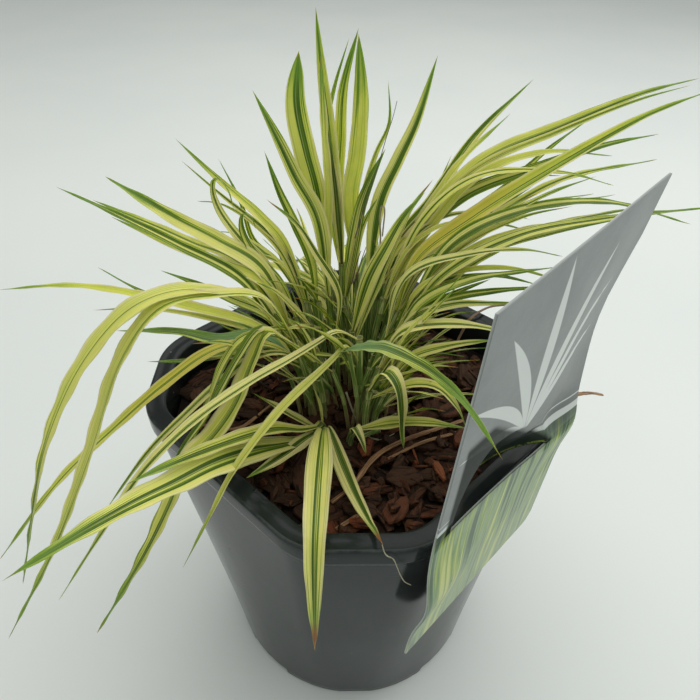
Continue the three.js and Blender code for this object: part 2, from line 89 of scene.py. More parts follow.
# A shoot's name, its root's x and y, the culm's heading, reach and height, its blades' marks, then the
# blades. A mark in capitals has a brown tip. A blade is a heading, a width, a turn of its face about its own
# line, and pairs of reach and height. Headings run from +X towards +Y, and heights start at the soil.
SHOOTS = [
    ("back_1", (-11, 15), (150, 2, 58), "sg",
     (150, 8.6, -60, 7, 87, 11, 101, 14, 117, 12, 134),
     (190, 4.5, -50, 1.5, 91, 2.5, 109, 3, 124, 3, 134)),
    ("back_2", (-6, 18), (150, 1, 56), "s",
     (165, 6, -70, 4, 88, 6, 109, 8, 126, 10, 147)),
    ("back_3", (-4, 22), (180, 3, 52), "sg",
     (180, 5.2, -80, 5, 84, 4, 105, 3, 122, -2, 141),
     (180, 2.3, -80, 8, 80, 9, 106, 6, 122, 1, 138)),
    ("back_4", (2, 18), (180, 3, 52), "g",
     (180, 6.8, -85, 6, 85, 4, 100, 3, 120, 4, 140)),
    ("back_5", (-2, 13), (180, 4, 44), "ls",
     (0, 5.6, 80, 0, 72, 2, 84, 6, 96, 10, 105),
     (10, 2.6, 70, 3, 88, 7, 103, 11, 113, 10, 127)),
    ("back_6", (3, 14), (60, 1, 46), "e",
     (30, 6, 55, 4, 84, 11, 98, 18, 111, 25, 132)),
    ("back_7", (-10, 9), (160, 2, 46), "s",
     (160, 6.5, -60, 6, 80, 14, 94, 20, 106, 29, 122)),
    ("back_8", (-15, 9), (158, 2, 42), "l",
     (158, 4.2, -55, 4, 62, 10, 76, 16, 88, 21, 102)),
    ("back_9", (-8, 3), (165, 1, 34), "E",
     (165, 3.2, -50, 0, 52, 9, 68, 16, 79, 27, 87)),
    ("middle_1", (1, 5), (210, 4, 34), "sS",
     (30, 7, 50, 3.1, 56.3, 10, 68, 18, 80, 26, 87),
     (45, 4, 40, 12, 58, 20, 70, 26, 78, 38, 86)),
    ("left_1", (-17, 12), (150, 5, 40), "gs",
     (150, 5, -35, 15.1, 64, 26, 73, 44, 83, 65, 96),
     (150, 2.5, -30, 17, 60, 30, 69, 45, 73, 58, 71)),
    ("left_2", (-14.8, 15.8), (150, 8.5, 34), "l",
     (150, 3, -40, 21.5, 51, 33.5, 58, 38.5, 74, 47.5, 90)),
    ("left_3", (-15, 4.7), (155, 11.5, 36), "e",
     (155, 5.2, -35, 25.5, 58, 35.5, 66, 43.5, 76, 45.5, 84, 43.5, 89, 38.5, 86, 36.5, 78)),
    ("left_4", (-17.3, 2.3), (160, 11, 30), "ss",
     (160, 8, -30, 22, 58, 40, 66.5, 59, 73, 87, 85),
     (155, 4.6, -25, 33, 56.5, 54, 60, 71, 63, 105, 68)),
    ("left_5", (-20.1, -0.8), (168, 10, 28), "le",
     (168, 5.5, -30, 24.8, 56.1, 50, 68.5, 79, 80.5, 95, 86.5),
     (170, 5, -30, 16.9, 47.7, 25, 55)),
    ("left_6", (-16.5, -4.1), (178, 8.5, 22), "gl",
     (178, 4.8, -30, 21.3, 39.5, 45.5, 48, 88.5, 56, 120.5, 53),
     (170, 3.6, -20, 41.5, 42, 67.5, 47, 86.5, 57)),
    ("front_left_1", (-18.2, -11.8), (203, 6, 42), "ss",
     (212, 7.6, -12, 24, 67, 44, 77, 60, 76, 77, 63, 95, 37, 108, 7, 120, -24),
     (216, 7.6, -8, 17.9, 66, 35.9, 74, 52.9, 76, 66.9, 64, 85.9, 30, 105.9, -4, 130.9, -38)),
    ("front_left_2", (-20, -7.2), (190, 6, 30), "bl",
     (195, 5.6, -25, 16.4, 42.1, 33, 43, 47, 49, 67, 53),
     (193, 4, -20, 13.4, 35.5, 28, 35, 45, 34, 60, 36)),
    ("front_left_3", (-14.7, -6.8), (204, 7, 28), "a",
     (207, 5.6, -20, 22, 42, 40, 46, 60, 37, 80, 24, 102, 8, 132, -23)),
    ("front_left_4", (-13, -13), (220, 5, 34), "sl",
     (218.5, 9.8, -5, 16, 48, 24, 56, 30, 47.5, 39.5, 31, 49.5, 21.5, 57.5, 17, 63, 11.5, 70, -1, 80, -16,
      93, -32, 108, -49),
     (213, 4.6, -12, 16, 47, 25, 56, 34, 47.5, 42, 36.5, 50, 26, 58, 17.5, 64.5, 8, 72, -6)),
    ("front_left_5", (1, -15), (218, 1, 45), "e",
     (218, 4.8, -15, 12, 52.5, 19, 51.5, 31, 49.5, 44, 48, 56.5, 45.5, 64, 43.5, 74, 39.5, 88.5, 30.5, 103.5,
      15, 124, -7)),
    ("front_low_1", (-13, -21), (222, 2, 7), "sseSEee",
     (228, 12, -18, 11, 5, 22, 10.5, 36, 18.5, 52, 25, 67, 28, 80, 31, 94, 33, 106, 34, 120, 35),
     (225, 7.5, -15, 11, 10, 24, 19.5, 36, 24.5, 47, 28, 58, 31, 69, 33.5, 81, 35.5),
     (236, 6.5, -15, 13, 7, 24, 9, 34, 12, 45, 16),
     (270, 10.2, 0, 10, 12, 28, 20, 50, 23, 66, 20, 75, 6, 80, -18),
     (288, 7, 5, 5, 8, 22, 7, 37, 7.5, 54, 12, 60, 15, 68, 18),
     (196, 5, 0, 2.5, 19, 4.5, 29, 6, 38),
     (200, 5, -10, 12, 13, 20, 22, 27, 30)),
    ("right_1", (6, 15), (30, 4, 48), "es",
     (30, 6, 40, 11, 66, 24, 78, 42, 101, 67, 119),
     (40, 3, 30, 18, 65, 28, 75, 38, 93)),
    ("right_2", (8.6, 10.4), (23, 5.5, 46), "sl",
     (22, 6.2, 50, 15.5, 75, 37.5, 96, 71.5, 106, 105.5, 114, 132.5, 117),
     (25, 4.6, 30, 31.5, 70, 51.5, 82, 69.5, 95, 89.5, 106)),
    ("right_3", (5.6, 2.2), (8, 9.5, 44), "a",
     (8, 7, 48, 15.5, 66.8, 34.5, 83, 61.5, 101, 89.5, 117, 111.5, 125)),
    ("right_4", (4.6, 7.3), (17, 5.5, 46), "gs",
     (17, 4.6, 50, 22, 74.5, 39.5, 93.5, 64.5, 99.5, 95.5, 95),
     (13, 4.2, 30, 19.5, 80, 37.5, 94, 69.5, 93.5, 94.5, 86)),
    ("right_5", (7.8, 5.3), (18, 8.5, 40), "sg",
     (18, 5, 30, 20.4, 62.9, 38.5, 73, 69.5, 88, 113.5, 92),
     (14, 3.6, 30, 33.5, 70, 60.5, 82, 83.5, 84)),
    ("right_6", (7, -2.6), (6, 9, 38), "l",
     (6, 5.4, 30, 24.9, 74.9, 46, 87, 78, 90, 114, 80)),
    ("right_7", (9, -7), (0, 7, 32), "ss",
     (1, 5.2, 30, 18.3, 63.7, 44, 82, 72, 89, 110, 94),
     (12, 5.4, 30, 19.9, 57.5, 33.9, 68, 51.9, 77)),
    ("right_8", (3, -7.5), (353, 7, 36), "e",
     (353, 4, 30, 14.2, 68.4, 33, 78, 52, 81.5, 65, 80)),
    ("right_9", (6, -11.8), (357, 7, 28), "l",
     (357, 5, 30, 15.6, 57.8, 32, 69, 48, 73, 62, 76)),
    ("right_10", (3.5, -16.8), (351, 4.5, 32), "es",
     (352, 6, 15, 11.9, 49.8, 25.5, 55, 42.5, 55, 55.5, 50.5),
     (356, 4, 15, 13, 46, 21, 57, 29.5, 70)),
    ("right_11", (6, -20.1), (353, 5, 25), "sg",
     (353, 5.6, 20, 12.8, 40.2, 26, 47.5, 43, 52.5),
     (337, 3, 20, 9.9, 50, 17.9, 65, 27.9, 82)),
    ("front_right_1", (-12, -5), (220, 4, 25), "b",
     (290, 6.8, 15, 9, 34, 26, 50, 52, 70, 66, 78, 83, 86, 96, 90, 105, 91, 117, 90)),
    ("front_right_2", (3, -22), (315, 2, 26), "es",
     (308, 7, 0, 12, 42, 17, 40, 20, 31, 21, 21, 23, 12),
     (335, 5, 10, 20, 36, 28, 37, 36, 30, 40, 22)),
    ("front_right_3", (-3, -27), (346, 2, 9), "se",
     (346, 6.5, 10, 16, 16, 30, 20, 44, 21),
     (300, 4.5, 0, 5, 14, 9, 12, 13, 7)),
    ("rear_1", (-3, 28), (95, 2, 22), "sl",
     (95, 6.5, 10, 10, 34, 28, 39, 48, 32, 64, 12, 70, -16),
     (75, 6, -8, 14, 31, 32, 36, 50, 30, 66, 12)),
    ("rear_2", (5, 25), (70, 2, 22), "se",
     (62, 6.5, 10, 12, 32, 30, 36, 54, 28, 74, 4),
     (46, 5.5, 8, 14, 31, 34, 36, 56, 30, 72, 23)),
    ("rear_3", (-11, 25), (115, 2, 22), "sg",
     (112, 6.5, -10, 12, 32, 30, 35, 52, 24, 68, -2),
     (138, 5.5, -8, 12, 32, 28, 36, 46, 33, 60, 26)),
]

# Loose dead stalks and leaves: a name, a width, then points of x, y and height above the soil.
STRAWS = [
    ("straw_1", 2.2, ((-9, -58, 3.2), (-2, -51, 3.6), (7, -37, 4.2), (17, -29, 4.2), (43, -16, 3.6))),
    ("straw_2", 1.8, ((-7, -69, 2.8), (2, -62, 3))),
    ("straw_3", 1.8, ((-62, -20, 2.8), (-48, -22, 3), (-36, -8, 2.8))),
    ("straw_4", 1.6, ((12, -36.5, 2.8), (24, -29, 3.1), (44, -20.5, 2.8))),
    ("dry_stalk", 2.2, ((62, -27, 14.5), (75, -20, 15), (86, -12, 14.2), (97, -3, 8), (107, 5, 0))),
    ("dry_leaf", 1.5, ((46, 34, 3.4), (52, 40, 13.7), (57, 45, 14.8), (64, 50, 14.8), (73, 54, 13.2))),
]

# Withered threads and sheath ends on the shoots: a width at the foot and at the tip, how pale it is from
# 0 to 1, then points of x, y and height above the soil.
WISPS = [
    (0.8, 0.35, 0.0, ((-2.1, -2, 78.4), (0.2, -2, 87.3), (2.9, -2, 97.2), (5.3, -2, 106.2),
                      (7.4, -2, 114.8), (9.0, -2, 120.7), (10.0, -2, 125.6))),
    (1.5, 1.1, 0.7, ((7.1, 12, 57), (7.6, 12, 70.2), (7, 12, 80.5), (7.6, 12, 84.2), (8.4, 12, 83.6),
                     (8.3, 12, 71.9))),
    (1.1, 0.5, 0.1, ((-1.8, 13, 50), (0.5, 13, 60), (2.3, 13, 66.5))),
    (1.2, 0.5, 0.15, ((-2.9, 13, 50), (-1, 13, 60), (0.4, 13, 64.8))),
    (1.1, 0.5, 0.2, ((4.8, 12, 52), (6.1, 12, 65.9), (5.2, 12, 70.1))),
    (1.8, 0.4, 0.85, ((-4.5, -11.4, 14), (-2, -14.9, 8), (0.1, -17.6, 4), (2.5, -22.2, 2.4),
                      (5.7, -25.2, 2.2), (9.7, -26.2, 2.4), (15, -22.8, 2.4))),
    (0.7, 0.5, 1.0, ((7.7, -85.2, 17.4), (8.7, -85.8, 14), (9.7, -86, 12.7), (11.2, -86.6, 12.5),
                     (12.7, -86.9, 8.4), (14.2, -87.2, 3.9), (15.7, -87.5, 1), (17.6, -88.1, 0.3))),
]

# Chips that stand out: x and y, half a length and half a width, the turn, and a tone from 0 to 1.
CHIPS = [
    (3.6, -29.9, 6.2, 3.5, 84, 0.84), (-38, -22, 5, 3, 60, 0.82), (-43, -8, 6, 3.2, 150, 0.6),
    (18, -45, 7.5, 5, 10, 0.42), (1, -60, 7, 5, 160, 0.36), (14, -60, 7, 4.6, 60, 0.68),
    (31, -41, 7, 2, 110, 0.9), (16, 0, 8, 3, 20, 0.7), (2, -66, 5, 2.6, 0, 0.86),
    (-20, -48, 9, 4, 100, 0.5), (-29, -38, 6, 3.4, 75, 0.8), (40, -8, 9, 4.5, 35, 0.62),
    (34, 12, 8, 4, 130, 0.72), (-48, 6, 8, 3.6, 20, 0.58), (-20, 40, 8, 4, 20, 0.7),
    (18, 44, 7, 4, 80, 0.8), (42, -24, 6, 3.4, 60, 0.75),
]


def smooth(share: Array, low: float, high: float) -> Array:
    """An eased step from 0 to 1 between two values, read at many places."""
    t = np.clip((np.asarray(share, float) - low) / (high - low), 0, 1)
    return t * t * (3 - 2 * t)


def unit(rows: Array) -> Array:
    """Rows of vectors brought to length one."""
    return rows / np.maximum(np.linalg.norm(rows, axis=-1, keepdims=True), 1e-12)


def shade(tone: str) -> tuple[float, float, float, float]:
    """A colour as the shader reads it.

    Args:
        tone: Six hexadecimal digits as a screen shows them.

    Returns:
        Red, green, blue and one, in linear light.
    """
    parts = [int(tone[i:i + 2], 16) / 255 for i in (0, 2, 4)]
    linear = [p / 12.92 if p <= 0.04045 else ((p + 0.055) / 1.055) ** 2.4 for p in parts]
    return (linear[0], linear[1], linear[2], 1.0)


def above_soil(places: Sequence[Sequence[float]]) -> list[tuple[float, float, float]]:
    """Points in metres, from millimetres along X, along Y and above the soil."""
    return [(x * MM, y * MM, SOIL + up * MM) for x, y, up in places]


def linked(name: str, data: ID) -> Object:
    """A new object, linked to the scene."""
    piece = bpy.data.objects.new(name, data)
    bpy.context.scene.collection.objects.link(piece)
    return piece


@dataclass(frozen=True)
class Strand:
    """A smooth line through a few places, read by its share of length."""

    line: Array
    run: Array
    reach: float = 0.012

    @classmethod
    def through(cls, places: Sequence[Sequence[float]], steps: int = 24) -> "Strand":
        """The line through places.

        Args:
            places: Points in order, in metres.
            steps: How many short steps each span is drawn with.

        Returns:
            The strand.
        """
        knots = np.array(places, float)
        ends = np.vstack([2 * knots[0] - knots[1], knots, 2 * knots[-1] - knots[-2]])
        share = np.linspace(0, 1, steps, endpoint=False)[:, None]
        spans = []
        for a, b, c, d in zip(ends, ends[1:], ends[2:], ends[3:]):
            before, here, after = (max(float(np.sum((q - p) ** 2)) ** 0.25, 1e-5)
                                   for p, q in ((a, b), (b, c), (c, d)))
            leave = ((b - a) / before - (c - a) / (before + here) + (c - b) / here) * here
            arrive = ((c - b) / here - (d - b) / (here + after) + (d - c) / after) * here
            spans.append(b + leave * share + (3 * (c - b) - 2 * leave - arrive) * share ** 2
                         + (2 * (b - c) + leave + arrive) * share ** 3)
        line = np.vstack([*spans, knots[-1:]])
        run = np.concatenate([[0], np.cumsum(np.linalg.norm(np.diff(line, axis=0), axis=1))])
        return cls(line, run)

    @property
    def length(self) -> float:
        """How long the strand is."""
        return float(self.run[-1])

    def shares(self, step: float, least: int) -> Array:
        """Shares of the length that lie about a step apart, with a least number of them."""
        return np.linspace(0, 1, max(int(self.length / step), least))

    def at(self, share: Values) -> Array:
        """The points at shares of the length."""
        where = np.asarray(share, float) * self.length
        return np.stack([np.interp(where, self.run, self.line[:, i]) for i in range(3)], axis=-1)

    def tangent(self, share: Values) -> Array:
        """The directions at shares of the length."""
        share = np.asarray(share, float)
        return unit(self.at(np.minimum(share + self.reach, 1)) - self.at(np.maximum(share - self.reach, 0)))


class Skin:
    """Closed shells gathered into one mesh, with named values kept at their points."""

    def __init__(self) -> None:
        """An empty skin."""
        self.points: list[Array] = []
        self.faces: Faces = []
        self.finishes: list[int] = []
        self.values: list[dict[str, Array]] = []
        self.count = 0

    def add(self, points: Array, faces: Sequence[tuple[int, ...]], finish: int = 0,
            **values: Values) -> None:
        """Adds one closed shell.

        Args:
            points: Its points, one a row.
            faces: Its faces, by the numbers of its own points.
            finish: Which of the piece's finishes it wears.
            **values: A number for the whole shell, or one for each point.
        """
        start = self.count
        self.points.append(points)
        self.faces.extend(tuple(i + start for i in corner) for corner in faces)
        self.finishes.extend([finish] * len(faces))
        self.values.append({name: np.broadcast_to(np.asarray(value, float), (len(points),))
                            for name, value in values.items()})
        self.count += len(points)

    def add_tube(self, strand: Strand, shares: Array, radii: Array, around: int = 10,
                 finish: int = 0, flat: float = 1.0, hint: Sequence[float] = (1, 0, 0),
                 **values: Values) -> None:
        """Adds a closed tube along a strand, with each point's turn about it, from -1 to 1, as across.

        Args:
            strand: The line that it follows.
            shares: Where its rings are.
            radii: A radius for each ring.
            around: How many points a ring has.
            finish: Which of the piece's finishes it wears.
            flat: How thick it is for its width.
            hint: A direction that is never along the strand.
            **values: A number for the whole tube, or one for each ring.
        """
        tangent = strand.tangent(shares)
        side = unit(np.cross(np.array(hint, float), tangent))
        face = np.cross(tangent, side)
        turn = np.linspace(0, 2 * math.pi, around, endpoint=False)
        out = (side[:, None, :] * np.cos(turn)[None, :, None]
               + face[:, None, :] * (np.sin(turn) * flat)[None, :, None])
        points = strand.at(shares)[:, None, :] + out * np.asarray(radii)[:, None, None]
        kept = {name: np.repeat(value, around) if np.ndim(value) else value for name, value in values.items()}
        self.add(points.reshape(-1, 3), ring_faces(len(shares), around), finish,
                 across=np.tile(np.abs(turn / math.pi - 1) * 2 - 1, len(shares)), **kept)

    def build(self, name: str, finishes: Sequence[Material], crease: float = 180) -> Object:
        """Makes the object.

        Args:
            name: The object's name.
            finishes: Its materials.
            crease: Edges sharper than this many degrees stay sharp.

        Returns:
            The new object, linked to the scene.
        """
        mesh = bpy.data.meshes.new(name)
        mesh.from_pydata(np.vstack(self.points).tolist(), [], self.faces)
        for finish in finishes:
            mesh.materials.append(finish)
        mesh.polygons.foreach_set("material_index", self.finishes)
        for key in sorted({key for row in self.values for key in row}):
            column = np.concatenate([row.get(key, np.zeros(len(points)))
                                     for row, points in zip(self.values, self.points)])
            mesh.attributes.new(key, "FLOAT", "POINT").data.foreach_set("value", column.astype(np.float32))
        draft = bmesh.new()
        draft.from_mesh(mesh)
        bmesh.ops.recalc_face_normals(draft, faces=draft.faces)
        draft.to_mesh(mesh)
        draft.free()
        mesh.polygons.foreach_set("use_smooth", [True] * len(mesh.polygons))
        if crease < 180:
            mesh.set_sharp_from_angle(angle=math.radians(crease))
        return linked(name, mesh)


def ring_faces(rings: int, around: int, tip: bool = False) -> Faces:
    """The faces of a closed shell through rings.

    Args:
        rings: How many rings it has.
        around: How many points each ring has.
        tip: Whether one more point ends it.

    Returns:
        The faces, with the first ring capped, and the last one capped or drawn to the tip.
    """
    faces: Faces = [tuple(range(around - 1, -1, -1))]
    for r in range(rings - 1):
        for i in range(around):
            j = (i + 1) % around
            faces.append((r * around + i, r * around + j, (r + 1) * around + j, (r + 1) * around + i))
    last = (rings - 1) * around
    if tip:
        faces.extend((last + i, last + (i + 1) % around, rings * around) for i in range(around))
    else:
        faces.append(tuple(range(last, last + around)))
    return faces


class Recipe:
    """One material's nodes, drawn from left to right."""

    def __init__(self, name: str) -> None:
        """A material with a bare shader."""
        self.material = bpy.data.materials.new(name)
        self.material.use_nodes = True
        self.tree = self.material.node_tree
        self.tree.nodes.clear()
        self.shader = self.tree.nodes.new("ShaderNodeBsdfPrincipled")
        out = self.tree.nodes.new("ShaderNodeOutputMaterial")
        self.tree.links.new(self.shader.outputs[0], out.inputs["Surface"])

    def plug(self, socket: NodeSocket, value: Socket) -> None:
        """Gives a socket a link or a value."""
        if isinstance(value, NodeSocket):
            self.tree.links.new(value, socket)
        else:
            socket.default_value = value

    def node(self, kind: str, inputs: Optional[dict[Union[str, int], Socket]] = None,
             **settings: object) -> Node:
        """Adds a node.

        Args:
            kind: The node's type, without its leading words.
            inputs: Links and values for its inputs.
            **settings: Its own settings.

        Returns:
            The node.
        """
        made = self.tree.nodes.new("ShaderNode" + kind)
        for key, value in settings.items():
            setattr(made, key, value)
        for key, value in (inputs or {}).items():
            self.plug(made.inputs[key], value)
        return made

    def value(self, name: str) -> NodeSocket:
        """A value kept at the mesh's points."""
        return self.node("Attribute", attribute_name=name).outputs["Fac"]

    def values(self, *names: str) -> list[NodeSocket]:
        """Values kept at the mesh's points."""
        return [self.value(name) for name in names]

    def place(self) -> NodeSocket:
        """The point's own place in the object, in metres."""
        return self.node("TexCoord").outputs["Object"]

    def math(self, operation: str, *parts: Socket) -> NodeSocket:
        """One step of arithmetic."""
        return self.node("Math", dict(enumerate(parts)), operation=operation).outputs[0]

    def times(self, value: Socket, by: Socket) -> NodeSocket:
        """Two numbers multiplied."""
        return self.math("MULTIPLY", value, by)

    def sum(self, *parts: tuple[Socket, float], start: float = 0.0) -> NodeSocket:
        """Parts, each times its weight, added up.

        Args:
            *parts: Pairs of a part and its weight.
            start: What is added to them.

        Returns:
            The sum.
        """
        total: Socket = start
        for part, weight in parts:
            total = self.math("MULTIPLY_ADD", part, weight, total)
        return total

    def join(self, x: Socket, y: Socket, z: Socket = 0.0) -> NodeSocket:
        """Three numbers as one vector."""
        return self.node("CombineXYZ", {0: x, 1: y, 2: z}).outputs[0]

    def scaled(self, vector: Socket, by: Sequence[float], turn: Sequence[float] = (0, 0, 0)) -> NodeSocket:
        """A vector turned and stretched."""
        return self.node("Mapping", {"Vector": vector, "Rotation": turn, "Scale": by}).outputs[0]

    def grain(self, across: float, along: float, seed: float) -> NodeSocket:
        """The place on a strip or chip: across it, along it and by its own number, each stretched."""
        return self.join(*(self.times(self.value(name), by)
                           for name, by in (("across", across), ("along", along), ("seed", seed))))

    def noise(self, vector: Socket, size: float = 1.0, detail: float = 2.0, rough: float = 0.5,
              warp: float = 0.0) -> NodeSocket:
        """Soft random values about one half."""
        return self.node("TexNoise", {"Vector": vector, "Scale": size, "Detail": detail,
                                      "Roughness": rough, "Distortion": warp}).outputs[0]

    def cells(self, vector: Socket, size: float) -> Node:
        """Random cells."""
        return self.node("TexVoronoi", {"Vector": vector, "Scale": size})

    def dots(self, vector: Socket, size: float, edge: tuple[float, float], few: tuple[float, float],
             channel: int) -> NodeSocket:
        """Small round dots in a few random cells.

        Args:
            vector: Where they are read.
            size: How close together the cells lie.
            edge: A dot's outer and inner radius.
            few: The random value above which a cell has a dot, and has it whole.
            channel: Which of the cells' random values is read.

        Returns:
            One inside a dot.
        """
        cells = self.cells(vector, size)
        parts = self.node("SeparateColor", {0: cells.outputs["Color"]})
        return self.times(self.step(cells.outputs["Distance"], *edge),
                          self.step(parts.outputs[channel], *few))

    def step(self, value: Socket, low: float, high: float) -> NodeSocket:
        """An eased step from 0 to 1 between two values."""
        made = self.node("MapRange", {"Value": value, "From Min": low, "From Max": high},
                         interpolation_type="SMOOTHSTEP")
        return made.outputs[0]

    def band(self, value: Socket, low: float, high: float, soft: float) -> NodeSocket:
        """One between two values and nothing beyond them, with soft borders."""
        return self.times(self.step(value, low - soft, low + soft),
                          self.step(value, high + soft, high - soft))

    def mix(self, share: Socket, low: Socket, high: Socket) -> NodeSocket:
        """Two colours mixed.

        Args:
            share: How much of the second there is.
            low: The first colour.
            high: The second colour.

        Returns:
            The colour.
        """
        made = self.node("Mix", data_type="RGBA")
        self.plug(made.inputs["Factor"], share)
        colours = [socket for socket in made.inputs if socket.type == "RGBA"]
        self.plug(colours[0], low)
        self.plug(colours[1], high)
        return [socket for socket in made.outputs if socket.type == "RGBA"][0]

    def blend(self, value: Socket, low: float, high: float, first: str, second: str) -> NodeSocket:
        """One tone passing into a second as a value rises from low to high."""
        return self.mix(self.step(value, low, high), shade(first), shade(second))

    def lay(self, colour: Socket, tone: str, share: Socket, most: float = 1.0) -> NodeSocket:
        """A tone laid over a colour where a share from 0 to 1 says, and no more strongly than most."""
        return self.mix(share if most == 1 else self.times(share, most), colour, shade(tone))

    def ramp(self, value: Socket, stops: Sequence[tuple[float, str]]) -> NodeSocket:
        """Colours along a scale from 0 to 1.

        Args:
            value: Where the scale is read.
            stops: Places and the colours at them.

        Returns:
            The colour.
        """
        made = self.node("ValToRGB", {0: value})
        marks = made.color_ramp.elements
        while len(marks) < len(stops):
            marks.new(0.5)
        for mark, (place, tone) in zip(marks, stops):
            mark.position = place
            mark.color = shade(tone)
        return made.outputs[0]

    def bump(self, height: Socket, depth: float, strength: float) -> NodeSocket:
        """Small relief, as a bent normal: a height from 0 to 1 times a depth in metres."""
        return self.node("Bump", {"Height": height, "Distance": depth, "Strength": strength}).outputs[0]

    def done(self, colour: Socket, rough: Socket, normal: Socket, **sockets: Socket) -> Material:
        """Dresses the shader.

        Args:
            colour: The base colour.
            rough: The roughness.
            normal: The bent normal.
            **sockets: Other sockets, with underscores for spaces.

        Returns:
            The finished material.
        """
        for key, value in {"Base_Color": colour, "Roughness": rough, "Normal": normal, **sockets}.items():
            self.plug(self.shader.inputs[key.replace("_", " ")], value)
        return self.material


@dataclass(frozen=True)
class BladeFinish:
    """A striped leaf: bright yellow-green or cream, with long green stripes.

    A row of lines says how close together they lie across the blade, how soon they change along it, and how
    far apart two blades' lines are drawn.
    """

    yellow: str = "d0d456"
    cream: str = "e6de96"
    amber: str = "c9ab3a"
    mid: str = "a0b03c"
    green: str = "5d761c"
    deep: str = "3e5713"
    tip: str = "6d8f36"
    glaucous: str = "6b9268"
    brown: str = "8a5a34"
    rough: float = 0.34
    gloss: float = 0.28
    glow: float = 0.45
    glow_reach: tuple[float, float, float] = (1.2 * MM, 1.6 * MM, 0.4 * MM)
    relief: float = 0.18 * MM
    wide_lines: tuple[float, float, float] = (2.6, 0.9, 71.0)
    fine_lines: tuple[float, float, float] = (9.0, 1.1, 113.0)
    hairlines: tuple[float, float, float] = (17.0, 0.8, 37.0)
    ribs: tuple[float, float, float] = (34.0, 2.0, 1.0)
    blotches: tuple[float, float, float] = (1.0, 9.0, 29.0)

    def make(self) -> Material:
        """Makes the material.

        Returns:
            The material.
        """
        recipe = Recipe("striped_leaf")
        wide, fine, hair, ribs = (recipe.noise(recipe.grain(*lines), 1.0, 1.0)
                                  for lines in (self.wide_lines, self.fine_lines, self.hairlines, self.ribs))
        blotch = recipe.noise(recipe.grain(*self.blotches), 1.3)
        away = recipe.math("ABSOLUTE", recipe.value("across"))
        colour = self.ground(recipe, away, fine, blotch)
        colour = recipe.lay(colour, self.green, recipe.step(hair, 0.57, 0.64), 0.38)
        colour = self.striped(recipe, colour, wide, fine)
        colour = recipe.lay(colour, self.yellow, recipe.step(hair, 0.38, 0.3), 0.35)
        colour = recipe.lay(colour, self.cream, recipe.step(away, 0.05, 0.015), 0.35)
        colour = recipe.lay(colour, self.tip, recipe.step(away, 0.94, 0.99), 0.16)
        colour = self.aged(recipe, colour, fine, blotch)
        height = recipe.sum((ribs, 0.6), (recipe.step(away, 0.0, 0.09), 0.8))
        return recipe.done(colour, recipe.sum((ribs, 0.2), start=self.rough),
                           recipe.bump(height, self.relief, 0.5), Subsurface_Weight=self.glow,
                           Subsurface_Radius=self.glow_reach, Subsurface_Scale=1.0,
                           Specular_IOR_Level=self.gloss)

    def ground(self, recipe: Recipe, away: Socket, fine: Socket, blotch: Socket) -> NodeSocket:
        """The light ground that the stripes lie on: mottled, with pale margins and warm patches.

        Args:
            recipe: The material's nodes.
            away: How far from the midrib a point lies, from 0 to 1.
            fine: The fine lines.
            blotch: Soft patches.

        Returns:
            The colour.
        """
        colour = recipe.lay(shade(self.yellow), self.mid, recipe.step(blotch, 0.4, 0.75), 0.4)
        margin = recipe.step(recipe.sum((away, 1.0), (fine, 0.5)), 0.85, 1.0)
        pale = recipe.math("MAXIMUM", recipe.value("pale"), recipe.times(margin, 0.85))
        warm = recipe.times(recipe.value("warm"), recipe.band(recipe.value("along"), 0.14, 0.5, 0.12))
        return recipe.lay(recipe.lay(colour, self.cream, pale), self.amber, warm, 0.55)

    def striped(self, recipe: Recipe, colour: Socket, wide: Socket, fine: Socket) -> NodeSocket:
        """Lays green stripes over the ground, densest where the blade's marks say and towards its ends.

        Args:
            recipe: The material's nodes.
            colour: The ground.
            wide: The wide lines.
            fine: The fine lines.

        Returns:
            The colour.
        """
        across, along, middle, dark = recipe.values("across", "along", "middle", "dark")
        shift, broad = recipe.values("shift", "broad")
        off = recipe.math("ABSOLUTE", recipe.sum((wide, 0.5), (across, 1.0), (shift, -1.0), start=-0.25))
        inside = recipe.step(recipe.math("SUBTRACT", off, broad), 0.04, -0.04)
        centre = recipe.times(middle, recipe.sum((inside, 1.0), start=-0.45))
        ends = recipe.sum((recipe.step(along, 0.55, 1.0), 0.4), (recipe.step(along, 0.2, 0.0), 0.12))
        stripes = recipe.sum((wide, 0.9), (fine, 1.5), (centre, 0.5), (dark, 0.75), (ends, 1.0), start=-1.575)
        for tone, low, high in ((self.mid, -0.03, 0.0), (self.green, 0.07, 0.1), (self.deep, 0.26, 0.36)):
            colour = recipe.lay(colour, tone, recipe.step(stripes, low, high))
        return colour

    def aged(self, recipe: Recipe, colour: Socket, fine: Socket, blotch: Socket) -> NodeSocket:
        """Turns the blade greener, bluer or brown where its age and marks say.

        Args:
            recipe: The material's nodes.
            colour: The striped leaf.
            fine: The fine lines.
            blotch: Soft patches.

        Returns:
            The colour.
        """
        along, blue, dry = recipe.values("along", "blue", "dry")
        end = recipe.step(recipe.math("ADD", along, recipe.times(blotch, 0.2)), 0.82, 1.08)
        colour = recipe.lay(colour, self.tip, end, 0.75)
        colour = recipe.lay(colour, self.glaucous, recipe.times(blue, recipe.step(along, 0.75, 0.3)), 0.75)
        point = recipe.step(recipe.math("ADD", along, recipe.times(blotch, 0.06)), 0.98, 1.03)
        gone = recipe.step(recipe.sum((along, 1.0), (dry, 1.0), (fine, 0.05)), 0.98, 1.06)
        return recipe.lay(colour, self.brown, recipe.math("MAXIMUM", recipe.times(point, 0.6), gone))


